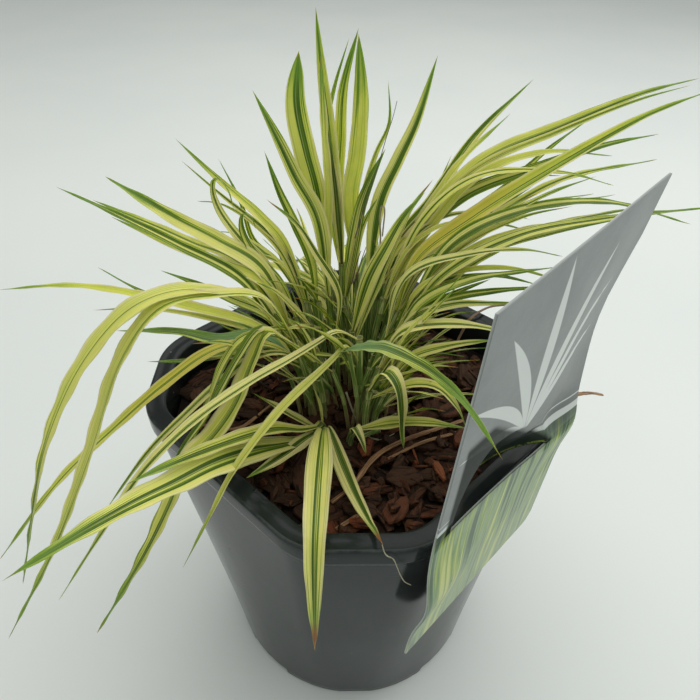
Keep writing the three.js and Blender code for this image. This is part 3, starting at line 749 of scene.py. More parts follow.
@dataclass(frozen=True)
class CulmFinish:
    """A culm in its sheath: pale green with fine dark lines, straw brown and pink at its foot."""

    pale: str = "c3c987"
    green: str = "6f8c3b"
    dark: str = "47602c"
    foot: str = "a98a68"
    knot: str = "6e5a3a"
    rough: float = 0.35
    relief: float = 0.15 * MM
    glow: float = 0.12
    glow_reach: tuple[float, float, float] = (1.0 * MM, 1.2 * MM, 0.4 * MM)

    def make(self) -> Material:
        """Makes the material.

        Returns:
            The material.
        """
        recipe = Recipe("culm_sheath")
        vector = recipe.grain(5.0, 1.4, 83.0)
        lines = recipe.noise(vector)
        colour = recipe.blend(lines, 0.4, 0.48, self.pale, self.green)
        colour = recipe.lay(colour, self.dark, recipe.step(lines, 0.58, 0.66))
        low = recipe.step(recipe.math("ADD", recipe.value("along"), recipe.times(lines, 0.3)), 0.5, 0.2)
        colour = recipe.lay(colour, self.foot, low, 0.7)
        colour = recipe.lay(colour, self.knot, recipe.value("knot"))
        ribs = recipe.noise(recipe.scaled(vector, (6, 1, 1)), 1.0, 1.0)
        return recipe.done(colour, recipe.sum((ribs, 0.2), start=self.rough),
                           recipe.bump(ribs, self.relief, 0.6), Subsurface_Weight=self.glow,
                           Subsurface_Radius=self.glow_reach, Subsurface_Scale=1.0)


@dataclass(frozen=True)
class StrawFinish:
    """Dead stalk and leaf: dull straw with brown lines."""

    straw: str = "a8835a"
    brown: str = "6b4527"
    grey: str = "5a5048"
    pale: str = "b5b294"
    rough: float = 0.55
    relief: float = 0.2 * MM

    def make(self) -> Material:
        """Makes the material.

        Returns:
            The material.
        """
        recipe = Recipe("dry_straw")
        vector = recipe.grain(4.0, 2.5, 57.0)
        colour = recipe.blend(recipe.noise(vector, 1.0, 3.0, 0.6), 0.4, 0.62, self.straw, self.brown)
        colour = recipe.lay(colour, self.pale, recipe.value("pale"))
        colour = recipe.lay(colour, self.grey, recipe.value("dark"))
        fibres = recipe.noise(recipe.scaled(vector, (7, 1.5, 1)))
        return recipe.done(colour, recipe.sum((fibres, 0.3), start=self.rough),
                           recipe.bump(fibres, self.relief, 0.8))


@dataclass(frozen=True)
class BarkFinish:
    """Reddish-brown bark chips: fibrous, each of its own tone, with dark pits, darkened low down by painted
    shade.
    """

    tones: tuple[tuple[float, str], ...] = ((0.0, "231811"), (0.25, "38271a"), (0.45, "483224"),
                                            (0.6, "523423"), (0.75, "663d29"), (0.87, "86482c"),
                                            (1.0, "8f6a49"))
    pit: str = "1d130b"
    # Painted shade: this near-black tone is laid where a point lies low among the chips.
    dust: str = "120c08"
    fibre: str = "80593a"
    rough: float = 0.6
    gloss: float = 0.14
    relief: float = 0.7 * MM

    def make(self) -> Material:
        """Makes the material.

        Returns:
            The material.
        """
        recipe = Recipe("bark_chip")
        vector = recipe.grain(1.0, 0.14, 97.0)
        plates = recipe.noise(vector, 0.55, 4.0, 0.6, 0.6)
        fibres = recipe.noise(vector, 3.2, 4.0, 0.62, 0.2)
        grain = recipe.noise(recipe.place(), 1100.0, 4.0, 0.65)
        colour = recipe.lay(recipe.ramp(recipe.value("seed"), self.tones), self.pit,
                            recipe.step(plates, 0.55, 0.34))
        colour = recipe.lay(colour, self.fibre, recipe.step(fibres, 0.56, 0.72), 0.45)
        colour = recipe.lay(colour, self.pit, recipe.step(grain, 0.45, 0.3), 0.5)
        # Painted shade: chips and the bed are darkened where they lie low, as if shaded by the chips around
        # them.
        colour = recipe.lay(colour, self.dust, recipe.value("low"))
        height = recipe.sum((plates, 0.8), (fibres, 0.35), (grain, 0.35))
        return recipe.done(colour, recipe.sum((grain, 0.25), start=self.rough),
                           recipe.bump(height, self.relief, 0.9), Specular_IOR_Level=self.gloss)


@dataclass(frozen=True)
class MixFinish:
    """Potting mix: dark crumbs."""

    crumb: str = "33221a"
    dark: str = "1b120e"
    rough: float = 0.92
    relief: float = 1.2 * MM

    def make(self) -> Material:
        """Makes the material.

        Returns:
            The material.
        """
        recipe = Recipe("potting_mix")
        place = recipe.place()
        crumbs = recipe.cells(place, 620.0).outputs["Distance"]
        grain = recipe.noise(place, 1500.0, 4.0, 0.65)
        height = recipe.sum((crumbs, -0.8), (grain, 0.5))
        return recipe.done(recipe.blend(grain, 0.35, 0.7, self.dark, self.crumb), self.rough,
                           recipe.bump(height, self.relief, 0.9))


@dataclass(frozen=True)
class PotFinish:
    """Moulded dark grey-green plastic: glossy, with pale specks of dirt, and a lip lightened partly by
    scuffing and partly by a painted highlight.
    """

    plastic: str = "272d2c"
    # Pale specks of dirt on the plastic.
    deep: str = "1e2322"
    dust: str = "8b8f89"
    # Lighter tone for scratches, and on the lip for scuffing with a painted highlight along its rounded
    # edges.
    worn: str = "525955"
    rough: float = 0.08
    gloss: float = 0.17
    relief: float = 0.6 * MM

    def make(self) -> Material:
        """Makes the material.

        Returns:
            The material.
        """
        recipe = Recipe("moulded_plastic")
        place = recipe.place()
        cloud = recipe.noise(place, 28.0, 4.0, 0.6)
        film = recipe.noise(recipe.scaled(place, (1, 1, 0.35)), 120.0, 5.0, 0.62)
        speck = recipe.dots(place, 210.0, (0.13, 0.07), (0.93, 0.95), 0)
        streak = recipe.noise(recipe.scaled(place, (60, 60, 900), (0.6, 0.35, 0.2)))
        scratch = recipe.times(recipe.step(streak, 0.70, 0.735), recipe.step(film, 0.45, 0.6))
        # Painted highlight and scuffing: the lip's rounded edges are lightened in patches.
        worn = recipe.times(recipe.value("worn"), recipe.step(film, 0.3, 0.6))
        colour = recipe.blend(cloud, 0.3, 0.7, self.deep, self.plastic)
        colour = recipe.lay(colour, self.dust, speck, 0.5)
        colour = recipe.lay(colour, self.worn, scratch, 0.25)
        colour = recipe.lay(colour, self.worn, worn, 0.5)
        height = recipe.sum((cloud, 1.0), (film, 0.06), (scratch, -0.03))
        rough = recipe.sum((film, 0.14), (speck, 0.3), (worn, 0.15), start=self.rough)
        return recipe.done(colour, rough, recipe.bump(height, self.relief, 0.14),
                           Specular_IOR_Level=self.gloss)


@dataclass(frozen=True)
class LabelFinish:
    """A printed plastic card: grey with a plain tuft of leaves, a pale band, and soft grass strokes below it.

    Places on the card are in millimetres across and up from its middle.
    """

    grey: str = "6c7271"
    grey_light: str = "7b8180"
    shadow: str = "4f5553"
    ink: str = "cdd2cf"
    pale_band: str = "c4c9c5"
    # Painted reflection and shade: the dark rim mirrored on the pressed tongue.
    dark: str = "1f2622"
    nick: str = "3d423f"
    back: str = "b9bdb9"
    back_dull: str = "a9aeab"
    bright: str = "93a848"
    print_dark: str = "24382a"
    print_faded: str = "b7c2a8"
    print_tones: tuple[tuple[float, str], ...] = (
        (0.0, "24382a"), (0.41, "375632"), (0.44, "58754e"), (0.485, "8fa877"), (0.53, "63844a"),
        (0.555, "93a848"), (0.6, "bcc476"), (1.0, "d9dcae"))
    # Each layer's closeness across and along, its lean in degrees, its roughness, its warp and its weight.
    strokes: tuple[tuple[float, ...], ...] = (
        (0.13, 0.011, 30, 0.55, 0.5, 0.46), (0.3, 0.018, 35, 0.5, 0.4, 0.42),
        (0.9, 0.035, 27, 0.6, 0.4, 0.12))
    cut_up: float = -15.0
    patch_left: Range = (-40.0, -38.0)
    patch_side: Range = (11.0, 7.5)
    patch_slant: float = 0.87
    patch_top: Range = (34.0, 30.0)
    patch_matt: float = -0.47
    # Each leaf's heading in degrees, its length and width, and how far it bends aside.
    tuft: tuple[tuple[float, float, float, float], ...] = (
        (92, 70, 6.0, 0.06), (76, 64, 6.4, -0.14), (107, 62, 5.6, 0.18), (62, 54, 6.0, -0.27),
        (121, 52, 5.0, 0.3), (48, 42, 5.4, -0.4), (136, 40, 4.4, 0.4), (150, 26, 3.6, 0.5))
    tuft_foot: tuple[float, float] = (-3.0, 12.0)
    rough: float = 0.3
    gloss: float = 0.5
    relief: float = 0.5 * MM

    def make(self) -> Material:
        """Makes the material.

        Returns:
            The material.
        """
        recipe = Recipe("printed_card")
        over, up, front = recipe.values("over", "up", "front")
        place = recipe.join(over, up)
        haze = recipe.noise(place, 0.045, 3.0, 0.55)
        fine = recipe.noise(place, 0.9, 3.0, 0.6)
        patch = self.patch(recipe, over, up)
        colour = recipe.lay(self.printed(recipe, place, up), self.pale_band, recipe.step(up, -8.4, -8.0))
        colour = recipe.mix(recipe.step(up, -5.4, -5.0), colour, self.upper(recipe, over, up, haze))
        # Painted reflection and shade: the tongue is darkened where it turns in behind the rim.
        colour = recipe.lay(colour, self.dark, patch, 0.96)
        colour = recipe.lay(colour, self.bright, self.pressed(recipe, over, up), 0.6)
        colour = recipe.lay(colour, self.nick, recipe.dots(place, 0.16, (0.08, 0.05), (0.88, 0.92), 1), 0.7)
        rear = recipe.blend(haze, 0.35, 0.65, self.back, self.back_dull)
        return recipe.done(recipe.mix(front, rear, colour), recipe.sum((fine, 0.12), start=self.rough),
                           recipe.bump(recipe.sum((haze, 1.0), (fine, 0.08)), self.relief, 0.3),
                           Specular_IOR_Level=recipe.sum((patch, self.patch_matt), start=self.gloss))

    def upper(self, recipe: Recipe, over: Socket, up: Socket, haze: Socket) -> NodeSocket:
        """The grey part of the card, shaded low down and to the right, with the tuft and a thin line of ink.

        Args:
            recipe: The material's nodes.
            over: Millimetres across the card.
            up: Millimetres up the card.
            haze: Soft clouds.

        Returns:
            The colour.
        """
        shaded = recipe.times(recipe.step(recipe.sum((over, 0.35), (up, 1.0)), 46.0, 4.0),
                              recipe.step(over, -34.0, 6.0))
        colour = recipe.blend(haze, 0.3, 0.7, self.grey, self.grey_light)
        colour = recipe.lay(colour, self.shadow, shaded, 0.7)
        colour = recipe.lay(colour, self.ink, self.sprig(recipe, over, up))
        return recipe.lay(colour, self.ink, recipe.band(up, -2.2, -1.6, 0.25))

    def printed(self, recipe: Recipe, place: Socket, up: Socket) -> NodeSocket:
        """Soft leaning strokes of grass, dark under the pale band and faded at the foot.

        Args:
            recipe: The material's nodes.
            place: The point on the card.
            up: Millimetres up the card.

        Returns:
            The colour.
        """
        layers = []
        for close, long, lean, rough, warp, weight in self.strokes:
            turned = recipe.scaled(place, (close, long, 1), (0, 0, math.radians(lean)))
            layers.append((recipe.noise(turned, 1.0, 2.0, rough, warp), weight))
        colour = recipe.ramp(recipe.sum(*layers), self.print_tones)
        colour = recipe.lay(colour, self.print_faded, recipe.step(up, -30.0, -75.0), 0.35)
        return recipe.lay(colour, self.print_dark, recipe.step(up, -19.0, -10.0), 0.8)

    def patch(self, recipe: Recipe, over: Socket, up: Socket) -> NodeSocket:
        """The tongue's painted dark reflection of the rim, with painted shade where it bends in, and a soft
        border.

        Args:
            recipe: The material's nodes.
            over: Millimetres across the card.
            up: Millimetres up the card.

        Returns:
            One inside the painted reflection.
        """
        share = recipe.times(recipe.step(over, *self.patch_left),
                             recipe.step(recipe.sum((over, self.patch_slant), (up, 1.0)), *self.patch_side))
        share = recipe.times(share, recipe.step(up, *self.patch_top))
        return recipe.times(share, recipe.step(up, self.cut_up - 0.05, self.cut_up + 0.05))

    def pressed(self, recipe: Recipe, over: Socket, up: Socket) -> NodeSocket:
        """The bright broken line along the tongue's lower edge.

        Args:
            recipe: The material's nodes.
            over: Millimetres across the card.
            up: Millimetres up the card.

        Returns:
            One on the line.
        """
        broken = recipe.step(recipe.noise(recipe.join(over, up), 0.9), 0.42, 0.5)
        line = recipe.times(recipe.band(up, self.cut_up + 0.5, self.cut_up + 1.5, 0.4), broken)
        return recipe.times(line, recipe.band(over, -34.0, 24.0, 1.0))

    def sprig(self, recipe: Recipe, over: Socket, up: Socket) -> NodeSocket:
        """A plain tuft of arching blades, as a share of ink.

        Args:
            recipe: The material's nodes.
            over: Millimetres across the card.
            up: Millimetres up the card.

        Returns:
            One where the ink lies.
        """
        total: Socket = 0.0
        foot_over, foot_up = self.tuft_foot
        for heading, long, wide, bend in self.tuft:
            across, rise = math.cos(math.radians(heading)), math.sin(math.radians(heading))
            run = recipe.sum((over, across / long), (up, rise / long),
                             start=-(across * foot_over + rise * foot_up) / long)
            side = recipe.sum((over, -rise / long), (up, across / long),
                              start=(rise * foot_over - across * foot_up) / long)
            curve = recipe.math("MULTIPLY_ADD", recipe.times(run, run), -bend, side)
            taper = recipe.times(recipe.times(run, recipe.math("SUBTRACT", 1.0, run)), 2 * wide / long)
            inside = recipe.math("SUBTRACT", taper, recipe.math("ABSOLUTE", curve))
            total = recipe.math("MAXIMUM", total, recipe.step(inside, 0.0, 0.006))
        return total


@dataclass(frozen=True)
class FloorFinish:
    """A plain pale floor."""

    tone: str = "e7ebe8"
    dull: str = "e2e7e4"
    rough: float = 0.62
    gloss: float = 0.3
    relief: float = 0.5 * MM

    def make(self) -> Material:
        """Makes the material.

        Returns:
            The material.
        """
        recipe = Recipe("pale_floor")
        cloud = recipe.noise(recipe.place(), 3.0, 3.0)
        return recipe.done(recipe.blend(cloud, 0.3, 0.7, self.tone, self.dull), self.rough,
                           recipe.bump(cloud, self.relief, 0.1), Specular_IOR_Level=self.gloss)


@dataclass(frozen=True)
class Marks:
    """The values that a marking gives a blade's finish."""

    dark: float
    pale: float
    middle: float
    blue: float
    broad: float
    shift: float
    warm: float

    @classmethod
    def of(cls, marking: Marking, chance: Generator) -> "Marks":
        """The marks of one blade.

        Args:
            marking: How it is striped.
            chance: The stream of random numbers.

        Returns:
            Its marks, a little off the common ones.
        """
        # How green and how pale it is, the middle stripe's strength, how blue it is, the stripe's breadth.
        dark, pale, middle, blue, broad = {
            Marking.GOLD: (0.22, 0.1, 0.4, 0.0, 0.1),
            Marking.STRIPED: (0.46, 0.25, 1.1, 0.0, 0.25),
            Marking.EDGED: (0.5, 0.75, 1.4, 0.0, 0.38),
            Marking.LINED: (0.56, 0.35, -0.9, 0.0, 0.3),
            Marking.BLUE: (0.9, 0.2, 0.9, 1.0, 0.3),
            Marking.AMBER: (0.4, 0.05, 1.1, 0.0, 0.2),
        }[marking]
        return cls(dark + chance.uniform(-0.1, 0.1), min(max(pale + chance.uniform(-0.15, 0.2), 0), 1),
                   middle, blue, broad * chance.uniform(0.75, 1.3), chance.uniform(-0.32, 0.32),
                   float(marking is Marking.AMBER))


@dataclass(frozen=True)
class Blade:
    """One leaf blade: a thin channelled strip swept along its line to a point."""

    strand: Strand
    heading: float
    width: float
    turn: float
    marks: Marks
    seed: float
    dry: float = 0.0
    full: float = 3.0
    neck: float = 0.3
    full_by: float = 0.4
    thickness: float = 0.36 * MM
    channel: float = 4 * MM
    channel_most: float = 1.2
    neck_fold: float = 1.5
    tip_flat: float = 0.35
    ripple: float = 0.045
    ripple_rate: float = 400.0
    sway: float = 7.0
    sway_rate: float = 6.3
    sway_waves: float = 1.3
    across: int = 9
    step: float = 2.3 * MM
    rings: tuple[int, int] = (18, 72)

    def half(self, share: Array) -> Array:
        """Half the width at shares of the length: a narrow neck, then full, then a taper to the tip."""
        grown = self.neck + (1 - self.neck) * smooth(share, 0, self.full_by)
        return self.width / 2 * grown * (1 - share ** self.full) ** 1.1

    def directions(self, share: Array) -> tuple[Array, Array]:
        """The directions of the blade along its line.

        Args:
            share: Shares of the length.

        Returns:
            The directions across the blade, and out of its face.
        """
        tangent = self.strand.tangent(share)
        swing = self.sway * np.sin(self.sway_rate * (share * self.sway_waves + self.seed))
        spin = np.radians(self.turn + swing * smooth(share, 0, self.full_by))
        level = np.array([-math.sin(self.heading), math.cos(self.heading), 0.0])
        level = unit(level - tangent * (tangent @ level)[:, None])
        side = level * np.cos(spin)[:, None] + np.cross(tangent, level) * np.sin(spin)[:, None]
        return side, np.cross(tangent, side)

    def section(self, share: Array, u: Array, above: Array) -> tuple[Array, Array]:
        """The shape of each ring: a bent channel with a rippled margin.

        Args:
            share: Where the rings are.
            u: How far across the blade each point of a ring lies, from 1 to -1.
            above: One for a point on the upper face and minus one on the lower.

        Returns:
            How far the points lie across the blade, and out of its face.
        """
        half = self.half(share)
        bend = (np.minimum(self.channel_most, self.channel / half)
                + self.neck_fold * (1 - smooth(share, 0, 0.12)) - self.tip_flat * smooth(share, 0.6, 1))
        radius = (2 * half / bend)[:, None]
        angle = u[None, :] * bend[:, None] / 2
        reach = radius - (above * np.sqrt(np.maximum(1 - u ** 2, 0)) * self.thickness / 2)[None, :]
        wave = np.sin(self.ripple_rate * self.strand.length * share + 9 * self.seed)[:, None]
        wave = self.ripple * self.width * wave * (u ** 3)[None, :] * smooth(share, 0.1, self.full_by)[:, None]
        return reach * np.sin(angle), radius - reach * np.cos(angle) + wave

    def add_to(self, skin: Skin) -> None:
        """Adds the blade to a skin.

        Args:
            skin: What it is added to.
        """
        steps = int(np.clip(self.strand.length / self.step, *self.rings))
        share = np.linspace(0, 1, steps, endpoint=False)
        u = np.concatenate([np.linspace(1, -1, self.across), np.linspace(-1, 1, self.across)[1:-1]])
        above = np.concatenate([np.ones(self.across), -np.ones(self.across - 2)])
        side, face = self.directions(share)
        out_side, out_face = self.section(share, u, above)
        points = (self.strand.at(share)[:, None, :] + side[:, None, :] * out_side[..., None]
                  + face[:, None, :] * out_face[..., None]).reshape(-1, 3)
        skin.add(np.vstack([points, self.strand.at(1.0)]), ring_faces(steps, len(u), tip=True), 0,
                 across=np.append(np.tile(u, steps), 0), along=np.append(np.repeat(share, len(u)), 1),
                 seed=self.seed, dry=self.dry, **asdict(self.marks))


@dataclass(frozen=True)
class Culm:
    """A culm with its joints, and the sheaths that wrap it below each blade."""

    strand: Strand
    seed: float
    foot: float = 1.5 * MM
    tip: float = 1.0 * MM
    joint: float = 17 * MM
    knot: float = 0.9 * MM
    step: float = 1.6 * MM
    grain: float = 60 * MM
    sheath_gap: float = 0.12 * MM
    sheath_flare: float = 0.28 * MM

    def radius(self, share: Array) -> Array:
        """The bare culm's radius at shares of the length."""
        return self.foot + (self.tip - self.foot) * np.asarray(share, float)

    def add_to(self, skin: Skin) -> None:
        """Adds the culm to a skin.

        Args:
            skin: What it is added to.
        """
        share = self.strand.shares(self.step, 8)
        past = (share * self.strand.length + self.seed * self.joint) % self.joint
        swell = np.exp(-(past / self.knot - 1) ** 2)
        skin.add_tube(self.strand, share, self.radius(share) * (0.9 + 0.16 * swell), finish=1,
                      along=share * self.strand.length / self.grain, seed=self.seed, knot=swell * 0.6)

    def add_sheath(self, skin: Skin, top: float, reach: float, seed: float) -> None:
        """Adds a sheath.

        Args:
            skin: What it is added to.
            top: The share of the culm where its blade leaves it.
            reach: How far down it wraps the culm, as a share.
            seed: The sheath's own number.
        """
        low = max(top - reach, 0.12)
        share = np.linspace(low, min(top + 0.03, 1), 14)
        rise = (share - low) / (share[-1] - low)
        radii = self.radius(share) + self.sheath_gap + self.sheath_flare * rise ** 2
        skin.add_tube(self.strand, share, radii, 12, finish=1, along=0.35 + 0.8 * rise, seed=seed,
                      knot=0.5 * smooth(rise, 0.93, 1.0))


@dataclass(frozen=True)
class YoungShoot:
    """What a thin young shoot beside a culm is drawn from, in millimetres, degrees and shares."""

    off: Range = (2.6, 5.5)
    lean: Range = (-38, 38)
    tall: Range = (0.45, 1.0)
    out: Range = (2.5, 9.0)
    foot: float = 1.0 * MM
    tip: float = 0.6 * MM
    sheath: float = 0.5
    drop: float = 0.25
    blade_long: Range = (16, 44)
    blade_rise: Range = (0.35, 1.15)
    blade_turn: Range = (-30, 30)
    blade_width: Range = (2.2, 4.2)
    blade_roll: Range = (-40, 40)
    arch: tuple[Range, ...] = ((0.35, 0.4), (0.7, 0.72), (1.0, 0.86))
    dry: tuple[float, ...] = (0.0, 0.0, 0.1)


@dataclass(frozen=True)
class SlimBlade:
    """What a slim blade beside a full one is drawn from, in degrees, millimetres and shares of it."""

    aside: Range = (2, 9)
    long: Range = (0.5, 0.94)
    lift: Range = (-7, 6)
    start: Range = (0.7, 0.95)
    width: Range = (0.45, 0.95)
    roll: Range = (-25, 25)
    dry: tuple[float, ...] = (0.0, 0.0, 0.06)


@dataclass
class Grass:
    """All the leafy shoots. Each stands for the solid of the same name.

    The numbers of young shoots and slim blades, and how far towards the tip a blade stays full, are kept by
    group or by shoot.
    """

    rows: Sequence[tuple] = field(default_factory=lambda: SHOOTS)
    culm_depth: float = 5.7 * MM
    seed: int = 41
    top: float = 0.97
    drop: float = 0.13
    sheath: float = 0.42
    dry: Range = (0.07, 0.12)
    young: YoungShoot = YoungShoot()
    beside: SlimBlade = SlimBlade()
    tillers: dict[str, int] = field(default_factory=lambda: {
        "back": 2, "middle": 4, "left": 2, "right": 3, "front_left": 2, "front_right": 1, "rear": 2})
    slim: dict[str, float] = field(default_factory=lambda: {
        "back": 0.4, "left": 0.9, "right": 2.2, "front_left": 0.4,
        "right_8": 0.4, "right_9": 0.5, "right_10": 0.3, "right_11": 0.3})
    full: dict[str, float] = field(default_factory=lambda: {
        "back": 4.0, "back_1": 9.0, "back_3": 5.0, "back_4": 7.0, "left": 2.6, "left_4": 4.0, "right": 2.3,
        "front_left_5": 2.3})

    @staticmethod
    def reach(root: Sequence[float], heading: float, out: float, up: float) -> tuple[float, float, float]:
        """A point at a heading, reach and height from a root, in metres."""
        angle = math.radians(heading)
        x, y = root[0] + out * math.cos(angle), root[1] + out * math.sin(angle)
        return (x * MM, y * MM, SOIL + up * MM)

    def side_shoot(self, skin: Skin, root: Sequence[float], heading: float, up: float,
                   chance: Generator) -> None:
        """Adds a thin young shoot beside a culm.

        Args:
            skin: What it is added to.
            root: The culm's foot.
            heading: Where the culm leans.
            up: How high the culm stands.
            chance: The stream of random numbers.
        """
        young = self.young
        turn = chance.uniform(0, 2 * math.pi)
        off = chance.uniform(*young.off)
        foot = (root[0] + off * math.cos(turn), root[1] + off * math.sin(turn))
        lean = heading + chance.uniform(*young.lean)
        tall, out = up * chance.uniform(*young.tall), chance.uniform(*young.out)
        places = [(foot[0] * MM, foot[1] * MM, SOIL - 2 * MM), self.reach(foot, lean, out * 0.35, tall * 0.5),
                  self.reach(foot, lean, out, tall)]
        culm = Culm(Strand.through(places), chance.random(), young.foot, young.tip)
        culm.add_to(skin)
        culm.add_sheath(skin, self.top, young.sheath, chance.random())
        for i in range(int(chance.integers(1, 3))):
            top = self.top - young.drop * i
            long = chance.uniform(*young.blade_long)
            rise = chance.uniform(*young.blade_rise)
            way = lean + chance.uniform(*young.blade_turn)
            line = [tuple(culm.strand.at(top))]
            for a, b in young.arch:
                line.append(self.reach(foot, way, out * top + long * a * math.cos(rise),
                                       tall * top + long * b * math.sin(rise)))
            marking = Marking.common(chance)
            Blade(Strand.through(line), math.radians(way), chance.uniform(*young.blade_width) * MM,
                  chance.uniform(*young.blade_roll), Marks.of(marking, chance), chance.random(),
                  chance.choice(young.dry), across=7).add_to(skin)

    def slim_blade(self, skin: Skin, culm: Culm, root: Sequence[float], blade: Sequence[float],
                   chance: Generator) -> None:
        """Adds a slim blade beside a full one.

        Args:
            skin: What it is added to.
            culm: What it grows from.
            root: The culm's foot.
            blade: The full blade's row.
            chance: The stream of random numbers.
        """
        beside = self.beside
        way = blade[0] + chance.uniform(*beside.aside) * chance.choice([-1, 1])
        long, lift = chance.uniform(*beside.long), chance.uniform(*beside.lift)
        start = culm.strand.at(chance.uniform(*beside.start))
        from_up = (start[2] - SOIL) / MM
        line = [tuple(start)]
        for k, (out, up) in enumerate(zip(blade[3::2], blade[4::2])):
            rise = from_up + (up - from_up) * long + lift * (k + 1) / 4
            line.append(self.reach(root, way, out * long, rise))
        Blade(Strand.through(line), math.radians(way), blade[1] * chance.uniform(*beside.width) * MM,
              blade[2] + chance.uniform(*beside.roll), Marks.of(Marking.common(chance), chance),
              chance.random(), chance.choice(beside.dry)).add_to(skin)

    def build(self, finishes: Sequence[Material]) -> list[Object]:
        """Builds every shoot, with the blades' finish and the culms' finish."""
        chance = np.random.default_rng(self.seed)
        return [self.shoot(row, finishes, chance) for row in self.rows]

    def shoot(self, row: tuple, finishes: Sequence[Material], chance: Generator) -> Object:
        """Builds one shoot.

        Args:
            row: Its row of the shoots' table.
            finishes: The blades' finish and the culms' finish.
            chance: The stream of random numbers.

        Returns:
            The shoot's object.
        """
        name, root, (heading, out, up), letters, *blades = row
        group = name.rsplit("_", 1)[0]
        places = [(root[0] * MM, root[1] * MM, SOIL - self.culm_depth),
                  self.reach(root, heading, out * 0.3, up * 0.5), self.reach(root, heading, out, up)]
        culm = Culm(Strand.through(places), chance.random())
        skin = Skin()
        culm.add_to(skin)
        full = self.full.get(name, self.full.get(group, Blade.full))
        for i, (blade, letter) in enumerate(zip(blades, letters)):
            top = max(self.top - self.drop * i, 0.5)
            culm.add_sheath(skin, top, self.sheath, chance.random())
            line = [tuple(culm.strand.at(top)),
                    *(self.reach(root, blade[0], a, b) for a, b in zip(blade[3::2], blade[4::2]))]
            dry = chance.uniform(*self.dry) if letter.isupper() else 0.0
            Blade(Strand.through(line), math.radians(blade[0]), blade[1] * MM, blade[2],
                  Marks.of(Marking(letter.lower()), chance), chance.random(), dry, full).add_to(skin)
        for blade in blades:
            for _ in range(int(self.slim.get(name, self.slim.get(group, 0)) + chance.random())):
                self.slim_blade(skin, culm, root, blade, chance)
        for _ in range(self.tillers.get(group, 0)):
            self.side_shoot(skin, root, heading, up, chance)
        return settle(skin.build("leafy_shoot_" + name, finishes, 70), "leaf", "shoot_" + name)


@dataclass
class Straws:
    """Loose dead stalks and leaves on the bark and the rim, and the withered threads on the shoots."""

    rows: Sequence[tuple] = field(default_factory=lambda: STRAWS)
    threads: Sequence[tuple] = field(default_factory=lambda: WISPS)
    seed: int = 5
    flat: float = 0.5
    step: float = 1.8 * MM
    thread_step: float = 0.8 * MM
    grain: float = 30 * MM

    def build(self, finish: Material) -> list[Object]:
        """Builds every straw.

        Args:
            finish: The straws' finish.

        Returns:
            The straws' objects.
        """
        chance = np.random.default_rng(self.seed)
        pieces = []
        for name, width, places in self.rows:
            strand = Strand.through(above_soil(places))
            share = strand.shares(self.step, 8)
            radii = width / 2 * MM * (0.8 + 0.2 * np.sin(share * math.pi))
            radii = radii * chance.uniform(0.85, 1.1, len(share))
            skin = Skin()
            skin.add_tube(strand, share, radii, flat=self.flat, hint=(0, 0, 1),
                          along=share * strand.length / self.grain, seed=chance.random(),
                          dark=0.6 if name == "dry_leaf" else 0.0)
            pieces.append(settle(skin.build("fine_" + name, [finish]), "straw", name))
        return pieces

    def wisps(self, finish: Material) -> Object:
        """Builds the withered threads and sheath ends on the shoots.

        Args:
            finish: The straws' finish.

        Returns:
            The wisps' object.
        """
        chance = np.random.default_rng(self.seed + 1)
        skin = Skin()
        for foot, tip, pale, places in self.threads:
            strand = Strand.through(above_soil(places))
            share = strand.shares(self.thread_step, 12)
            skin.add_tube(strand, share, (foot + (tip - foot) * share) * MM / 2, 8, flat=self.flat,
                          along=share * strand.length / self.grain, seed=chance.random(),
                          dark=max(1.0 - 2 * pale, 0.0), pale=pale)
        return settle(skin.build("dry_wisps", [finish]), "straw")


